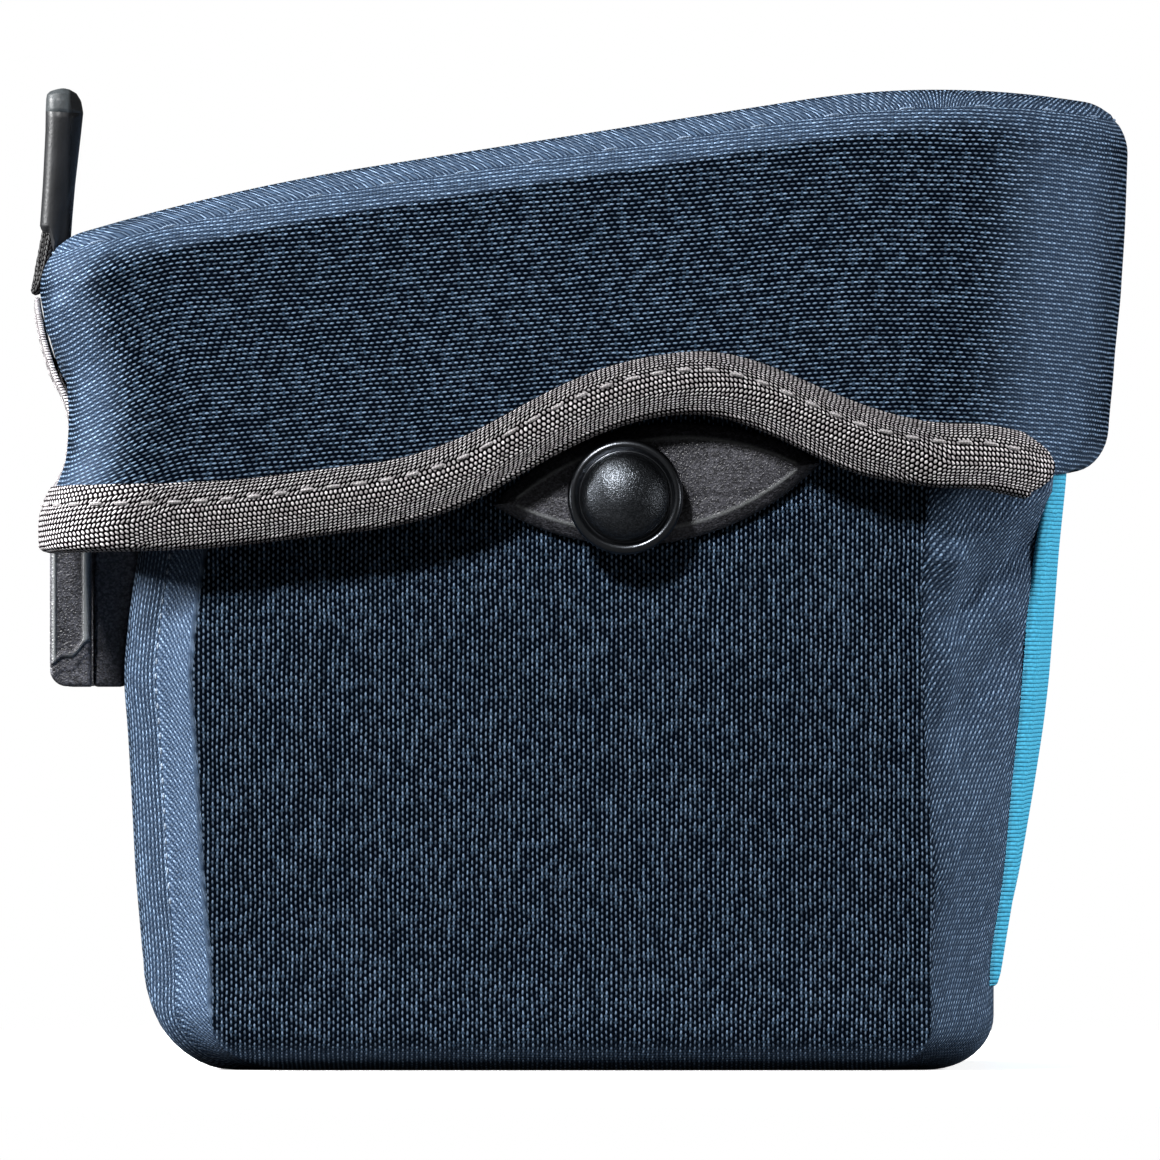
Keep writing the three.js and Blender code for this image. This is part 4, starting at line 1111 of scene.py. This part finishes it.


# %% [markdown]
# ### Navy cloth
# Pale yarn floats over a dark one in dashes 1.15 mm apart along the thread and 0.8 mm from row to row. The
# dark yarn crosses between them, a little lower, and now and then one of its loops is pale too. Slow noise
# bends the rows, a second noise gives slubs along the yarn, and each dash has its own shade, because the yarn
# is spun from two tones. Both yarns are rounded in the bump, so light that grazes the wall catches only the
# flanks of the threads and leaves the rest dark. Only the pale yarn is glossy. Where the cloth turns a corner
# its dark yarn is painted paler as light, and it is a little glossier.


# %% Navy cloth
def woven_navy():
    material, tree, shader = finish_named(
        "coarse_plain_weave_navy", Roughness=0.42, Specular_Tint=linear("#a9c8ee")
    )
    cloth = add(tree, "UVMap", uv_map="cloth").outputs["UV"]
    sway = add(tree, "TexNoise", {"Vector": cloth, "Scale": 0.13, "Detail": 2.0}).outputs["Color"]
    bent = add(tree, "VectorMath", {0: sway, 1: (0.6, 0.6, 0.0), 2: cloth}, operation="MULTIPLY_ADD").outputs[0]
    jitter = add(tree, "TexNoise", {"Vector": cloth, "Scale": 1.1, "Detail": 1.0}).outputs["Color"]
    thread = add(tree, "VectorMath", {0: jitter, 1: (0.3, 0.15, 0.0), 2: bent}, operation="MULTIPLY_ADD").outputs[0]
    step, row = 1.15, 0.8  # mm
    crossing = add(tree, "VectorMath", {0: thread, 1: (step / 2, 0.0, 0.0)}, operation="ADD").outputs[0]
    pale, own = dashes(tree, thread, step, row, 0.92, 0.45)
    dark, other = dashes(tree, crossing, step, row, 0.6, 0.9)
    slub_place = add(tree, "Mapping", {"Vector": cloth, "Scale": (0.1, 1.1, 1.0)}).outputs[0]
    slub = add(tree, "TexNoise", {"Vector": slub_place, "Scale": 1.0, "Detail": 3.0}).outputs[0]
    mixed = add(tree, "Math", {0: own, 1: 0.6, 2: slub}, operation="MULTIPLY_ADD").outputs[0]
    shade = add(
        tree, "MapRange", {"Value": mixed, "From Min": 0.4, "From Max": 1.2, "To Min": 0.42, "To Max": 1.75}
    ).outputs[0]
    yarn = add(tree, "VectorMath", {0: linear("#7c92ad")[:3], "Scale": shade}, operation="SCALE").outputs[0]
    painted_light = add(tree, "Attribute", attribute_name="painted_light").outputs["Fac"]
    flat_weft = add(tree, "Mix", {0: dark, 6: linear("#03070e"), 7: linear("#0a1422")}, data_type="RGBA").outputs[2]
    stray = add(tree, "MapRange", {"Value": other, "From Min": 0.6, "From Max": 0.9, "To Max": 0.9}).outputs[0]
    strayed = add(tree, "Math", {0: stray, 1: dark}, operation="MULTIPLY").outputs[0]
    mixed_weft = add(tree, "Mix", {0: strayed, 6: flat_weft, 7: linear("#3d5269")}, data_type="RGBA").outputs[2]
    # Painted light: where the cloth turns a corner its weft is painted paler, as if lit.
    painted_lit_weft = add(tree, "Mix", {0: dark, 6: linear("#2e3f57"), 7: linear("#586c86")}, data_type="RGBA").outputs[2]
    weft = add(tree, "Mix", {0: painted_light, 6: mixed_weft, 7: painted_lit_weft}, data_type="RGBA").outputs[2]
    cover = add(tree, "MapRange", {"Value": pale, "From Min": 0.35, "From Max": 1.0}).outputs[0]
    colour = add(tree, "Mix", {0: cover, 6: weft, 7: yarn}, data_type="RGBA").outputs[2]
    tree.links.new(colour, shader.inputs["Base Color"])
    spread = add(tree, "Math", {0: painted_light, 1: 0.08}, operation="MULTIPLY").outputs[0]
    shine = add(tree, "Math", {0: cover, 1: 0.5, 2: spread}, operation="MULTIPLY_ADD").outputs[0]
    tree.links.new(shine, shader.inputs["Specular IOR Level"])
    lower = add(tree, "Math", {0: dark, 1: 0.6}, operation="MULTIPLY").outputs[0]
    height = add(tree, "Math", {0: pale, 1: lower}, operation="MAXIMUM").outputs[0]
    relief = add(tree, "Bump", {"Height": height, "Strength": 1.0, "Distance": 0.26 * MM})
    tree.links.new(relief.outputs["Normal"], shader.inputs["Normal"])
    return material


dress(woven_navy(), tub, lid)

# %% [markdown]
# ### Tape, panel and threads
# The tape is a twill: its pale dashes climb one way above the middle and the other way below it. A triangle
# wave across the tape slides each dash along it, which turns plain rows into that zigzag. The panel is a
# ribbed cloth: rows 0.72 mm apart, with long floats that nearly touch. A thread is one spun yarn, and its
# slanting dashes are its twist.


# %% Tape, panel and threads
def woven(name, pale, mid, ground, step, row, length, breadth, lean=0.0, fold_at=5.5, depth=0.3, **constants):
    """Ovals of pale to mid yarn, length by breadth mm, step mm apart in rows row mm wide, glossier than the
    ground between them. lean slides a dash along by that much for each mm across, back and forth over
    fold_at."""
    material, tree, shader = finish_named(name, **constants)
    cloth = add(tree, "UVMap", uv_map="cloth").outputs["UV"]
    parts = add(tree, "SeparateXYZ", {0: cloth})
    zigzag = add(tree, "Math", {0: parts.outputs[1], 1: fold_at}, operation="PINGPONG").outputs[0]
    slid = add(tree, "Math", {0: zigzag, 1: lean, 2: parts.outputs[0]}, operation="MULTIPLY_ADD").outputs[0]
    place = add(tree, "CombineXYZ", {0: slid, 1: parts.outputs[1]}).outputs[0]
    sway = add(tree, "TexNoise", {"Vector": cloth, "Scale": 0.3, "Detail": 1.0}).outputs["Color"]
    place = add(tree, "VectorMath", {0: sway, 1: (0.5, 0.35, 0.0), 2: place}, operation="MULTIPLY_ADD").outputs[0]
    oval, own = dashes(tree, place, step, row, length, breadth)
    yarn = add(tree, "Mix", {0: own, 6: linear(pale), 7: linear(mid)}, data_type="RGBA").outputs[2]
    cover = add(tree, "MapRange", {"Value": oval, "From Min": 0.05, "From Max": 0.75}).outputs[0]
    both = add(tree, "Mix", {0: cover, 6: linear(ground), 7: yarn}, data_type="RGBA").outputs[2]
    fibre = add(tree, "TexNoise", {"Vector": cloth, "Scale": 1.7, "Detail": 3.0}).outputs[0]
    shade = add(
        tree, "MapRange", {"Value": fibre, "From Min": 0.3, "From Max": 0.7, "To Min": 0.75, "To Max": 1.25}
    ).outputs[0]
    colour = add(tree, "VectorMath", {0: both, "Scale": shade}, operation="SCALE").outputs[0]
    tree.links.new(colour, shader.inputs["Base Color"])
    shine = add(tree, "Math", {0: cover, 1: 0.45}, operation="MULTIPLY").outputs[0]
    tree.links.new(shine, shader.inputs["Specular IOR Level"])
    relief = add(tree, "Bump", {"Height": oval, "Strength": 1.0, "Distance": depth * MM})
    tree.links.new(relief.outputs["Normal"], shader.inputs["Normal"])
    return material


twill = woven(
    "twill_binding_tape", "#f4eff2", "#b2acaf", "#050304", 0.77, 0.93, 0.53, 0.78, lean=0.42, depth=0.2, Roughness=0.5
)
ribbed = woven(
    "ribbed_cloth_sky", "#50b6db", "#49acd2", "#1f7aa8", 5.0, 0.72, 14.0, 0.72, depth=0.2, Roughness=0.6
)
twist = (0.5, 0.4, 0.5, 0.4, 0.8, 50.0, 0.04)
pale_thread = woven("polyester_thread_grey", "#d0ccce", "#b4b0b1", "#6a6667", *twist, Roughness=0.45)
navy_thread = woven("polyester_thread_blue", "#8fa3bb", "#7288a3", "#2f3e54", *twist, Roughness=0.5)
braid = woven(
    "braided_cord_black", "#2c2b2c", "#1f1e1f", "#070707", 0.9, 0.66, 0.9, 0.6, 0.9, 0.9, 0.1, Roughness=0.6
)
seam_thread = woven("polyester_thread_pale", "#b9c6d6", "#9fb0c4", "#4a5a70", *twist, Roughness=0.5)
dress(twill, tape)
dress(ribbed, panel)
dress(seam_thread, *tub_threads)
dress(pale_thread, tape_thread)
dress(navy_thread, lid_thread)
dress(braid, cord)

# %% [markdown]
# ### Moulded plastic, stud and grip
# The socket and the plates are nylon from a spark-eroded mould, which leaves an even pebble grain of 0.3 mm,
# and their raised frames and beads are smooth and painted pale as highlights. The stud is brass with a black
# nickel finish: dark and glossy, with a grain of 0.22 mm on its dome and none on its rim, which is painted a
# little paler as a highlight. The grip is a satin rubber with hardly any grain, painted darker as shade down the
# side that faces the bag, and its cap is paler. Cell noise gives the pebbles, slow noise makes the gloss uneven,
# as handling does, and a number on the piece says where it is smooth and painted: pale as a highlight, and on the
# grip dark as shade.


# %% Moulded plastic, stud and grip
def moulded(name, colour, pale, grain, depth, speckle, gloss, spread, painted_light_colour="#1d1d20", **constants):
    """A grained surface: cells grain mm across raise it by depth mm and vary its shade by a share speckle, and
    its roughness wanders by spread about gloss. Where the piece's painted-light number is 1 the surface is
    smooth and painted: there its colour is painted_light_colour, a painted highlight on the nylon and the stud and a
    painted shade on the grip, it is glossier, and the grain is gone."""
    material, tree, shader = finish_named(name, **constants)
    place = add(tree, "TexCoord").outputs["Object"]
    cells = add(tree, "TexVoronoi", {"Vector": place, "Scale": 1000.0 / grain}, feature="SMOOTH_F1")
    slow = add(tree, "TexNoise", {"Vector": place, "Scale": 140.0, "Detail": 3.0}).outputs[0]
    mixed = add(
        tree, "MapRange", {"Value": slow, "From Min": 0.35, "From Max": 0.7, "To Min": 0.0, "To Max": 1.0}
    ).outputs[0]
    tint = add(tree, "Mix", {0: mixed, 6: linear(colour), 7: linear(pale)}, data_type="RGBA").outputs[2]
    pebble = add(tree, "SeparateColor", {0: cells.outputs["Color"]}).outputs[0]
    speck_range = {"From Min": 0.2, "From Max": 0.8, "To Min": 1 - speckle, "To Max": 1 + speckle}
    speck = add(tree, "MapRange", {"Value": pebble, **speck_range}).outputs[0]
    colour = add(tree, "VectorMath", {0: tint, "Scale": speck}, operation="SCALE").outputs[0]
    polish_and_painted_light = add(tree, "Attribute", attribute_name="painted_light").outputs["Fac"]
    colour = add(tree, "Mix", {0: polish_and_painted_light, 6: colour, 7: linear(painted_light_colour)}, data_type="RGBA").outputs[2]
    tree.links.new(colour, shader.inputs["Base Color"])
    gloss_range = {"From Min": 0.3, "From Max": 0.7, "To Min": gloss - spread, "To Max": gloss + spread}
    rough = add(tree, "MapRange", {"Value": slow, **gloss_range}).outputs[0]
    rough = add(tree, "Mix", {0: polish_and_painted_light, 2: rough, 3: 0.27}).outputs[0]
    tree.links.new(rough, shader.inputs["Roughness"])
    grained = add(tree, "Math", {0: 1.0, 1: polish_and_painted_light}, operation="SUBTRACT", use_clamp=True).outputs[0]
    rise = add(tree, "Math", {0: cells.outputs["Distance"], 1: grained}, operation="MULTIPLY").outputs[0]
    relief = add(tree, "Bump", {"Height": rise, "Strength": 1.0, "Distance": depth * MM})
    tree.links.new(relief.outputs["Normal"], shader.inputs["Normal"])
    return material


# The nylon's smooth frames and beads are painted pale as highlights.
nylon = moulded("moulded_nylon_black", "#434349", "#55555c", 0.3, 0.14, 0.6, 0.4, 0.05, painted_light_colour="#a8acac", IOR=1.53)
# The stud's smooth rim is painted a little paler, as a highlight.
nickel = moulded(
    "black_nickel_on_brass", "#505459", "#60646a", 0.22, 0.075, 0.35, 0.34, 0.05, painted_light_colour="#5e6166", Metallic=1.0
)
satin = (0.5, 0.03, 0.1, 0.45, 0.05)
# The side of the grip and of its cap that faces the bag is painted darker as shade.
rubber = moulded("satin_rubber_grey", "#1b1c1e", "#242528", *satin, painted_light_colour="#0b0b0c", IOR=1.48)
cap_rubber = moulded("satin_rubber_pale", "#34383a", "#43484b", *satin, painted_light_colour="#151617", IOR=1.48)
dress(nylon, socket_back, socket_rails, *pads, *plates)
dress(nickel, *studs)
dress(rubber, pull)
dress(cap_rubber, pull_cap)
print("materials:", len(bpy.data.materials))

# %% [markdown]
# ## Floor, light and size
# The bag stands on a plain pale floor in a white room. A soft key behind and a weaker fill in front stand in
# line with the side wall, so they brighten the upright corners and the lid's band and only graze the wall
# itself, and one lamp overhead lights the top. A small hard lamp high beside the camera, to its left, picks
# out single threads and throws the shadows of the tape and the stud. The fills aren't mirrored in gloss, and
# two cards are only mirrored in it. The floor and the room are white to the camera and dim to all else: a
# real studio shields the bag from them with black card, as light from below would fill in those shadows.

# %% Floor
floor_radius, floor_gap = 700.0, 0.05  # mm; the gap keeps the floor and the base out of one plane
angle = np.linspace(0, 2 * np.pi, 97)[None, :]
radius = np.linspace(0, floor_radius, 8)[:, None]
floor_points = np.stack([radius * np.cos(angle), radius * np.sin(angle), -floor_gap + 0 * radius * angle], -1)
floor_mesh = bpy.data.meshes.new("floor")
index = np.arange(floor_points[..., 0].size).reshape(floor_points.shape[:2])
quads = np.stack([index[:-1, :-1], index[1:, :-1], index[1:, 1:], index[:-1, 1:]], -1).reshape(-1, 4)
floor_mesh.from_pydata((floor_points.reshape(-1, 3) * MM).tolist(), [], quads.tolist())
floor = bpy.data.objects.new("floor", floor_mesh)
bpy.context.scene.collection.objects.link(floor)
floor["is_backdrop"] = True
paper, tree, shader = finish_named(
    "matt_white_paper",
    Base_Color=linear("#fcfcfc"),
    Roughness=0.9,
    Specular_IOR_Level=0.1,
    Emission_Color=linear("#ffffff"),
    Emission_Strength=0.5,
)
dull = add(tree, "BsdfDiffuse", {"Color": linear("#383838")})
first = add(tree, "LightPath").outputs["Is Camera Ray"]
split = add(tree, "MixShader", {0: first, 1: dull.outputs[0], 2: shader.outputs[0]})
tree.links.new(split.outputs[0], tree.nodes["Material Output"].inputs["Surface"])
dress(paper, floor)

room_light = 0.035
world = bpy.data.worlds.new("white_room")
world.use_nodes = True
sky = world.node_tree
sky.nodes.clear()
seen = add(sky, "LightPath").outputs["Is Camera Ray"]
dim = add(sky, "Background", {"Color": (1, 1, 1, 1), "Strength": room_light})
bright = add(sky, "Background", {"Color": (1, 1, 1, 1), "Strength": 1.0})
both = add(sky, "MixShader", {0: seen, 1: dim.outputs[0], 2: bright.outputs[0]})
add(sky, "OutputWorld", {"Surface": both.outputs[0]})
bpy.context.scene.world = world
print("floor:", len(floor_mesh.polygons), "faces")


# %% Lights
def soft_light(name, place, aim, size, watts, mirrored=True, lights_cloth=True):
    """A square lamp that looks from its place to the point it is aimed at. A fill isn't mirrored in gloss, and
    a card is only mirrored in it."""
    lamp = bpy.data.lights.new(name, "AREA")
    lamp.shape = "SQUARE"
    lamp.size, lamp.energy = size, watts
    light = bpy.data.objects.new(name, lamp)
    place, aim = np.array(place), np.array(aim)
    light.location = place.tolist()
    light.rotation_euler = Vector((aim - place).tolist()).to_track_quat("-Z", "Y").to_euler()
    light.visible_camera = False
    light.visible_glossy = mirrored
    light.visible_diffuse = lights_cloth
    bpy.context.scene.collection.objects.link(light)


middle = (0, 0, 0.1)
soft_light("rear_key", (-1.3, -0.02, 0.55), middle, 0.4, 43)
soft_light("front_fill", (1.3, -0.05, 0.45), (0, 0, 0.08), 0.5, 23, mirrored=False)
soft_light("overhead", (-0.75, -0.12, 1.3), (0, 0, 0.15), 0.6, 14)
soft_light("side_key", (-0.45, -1.24, 1.0), middle, 0.2, 23.5)
soft_light("left_fill", (-0.3, 1.4, 0.5), middle, 0.8, 14, mirrored=False)
for name, x in (("rear_card", -1.1), ("front_card", 1.1)):
    soft_light(name, (x, -0.5, 0.1), (0, -0.11, 0.1), 0.3, 1.2, lights_cloth=False)
print("lights:", len(bpy.data.lights))

# %% Sizes and the end
shown_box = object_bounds()
boxes = [[list(map(float, corner)) for corner in box] for box in (solid_box, shown_box)]
for name, (low, high) in zip(("solids", "dressed"), boxes):
    print(name, [round(1000 * (b - a), 1) for a, b in zip(low, high)], "mm")
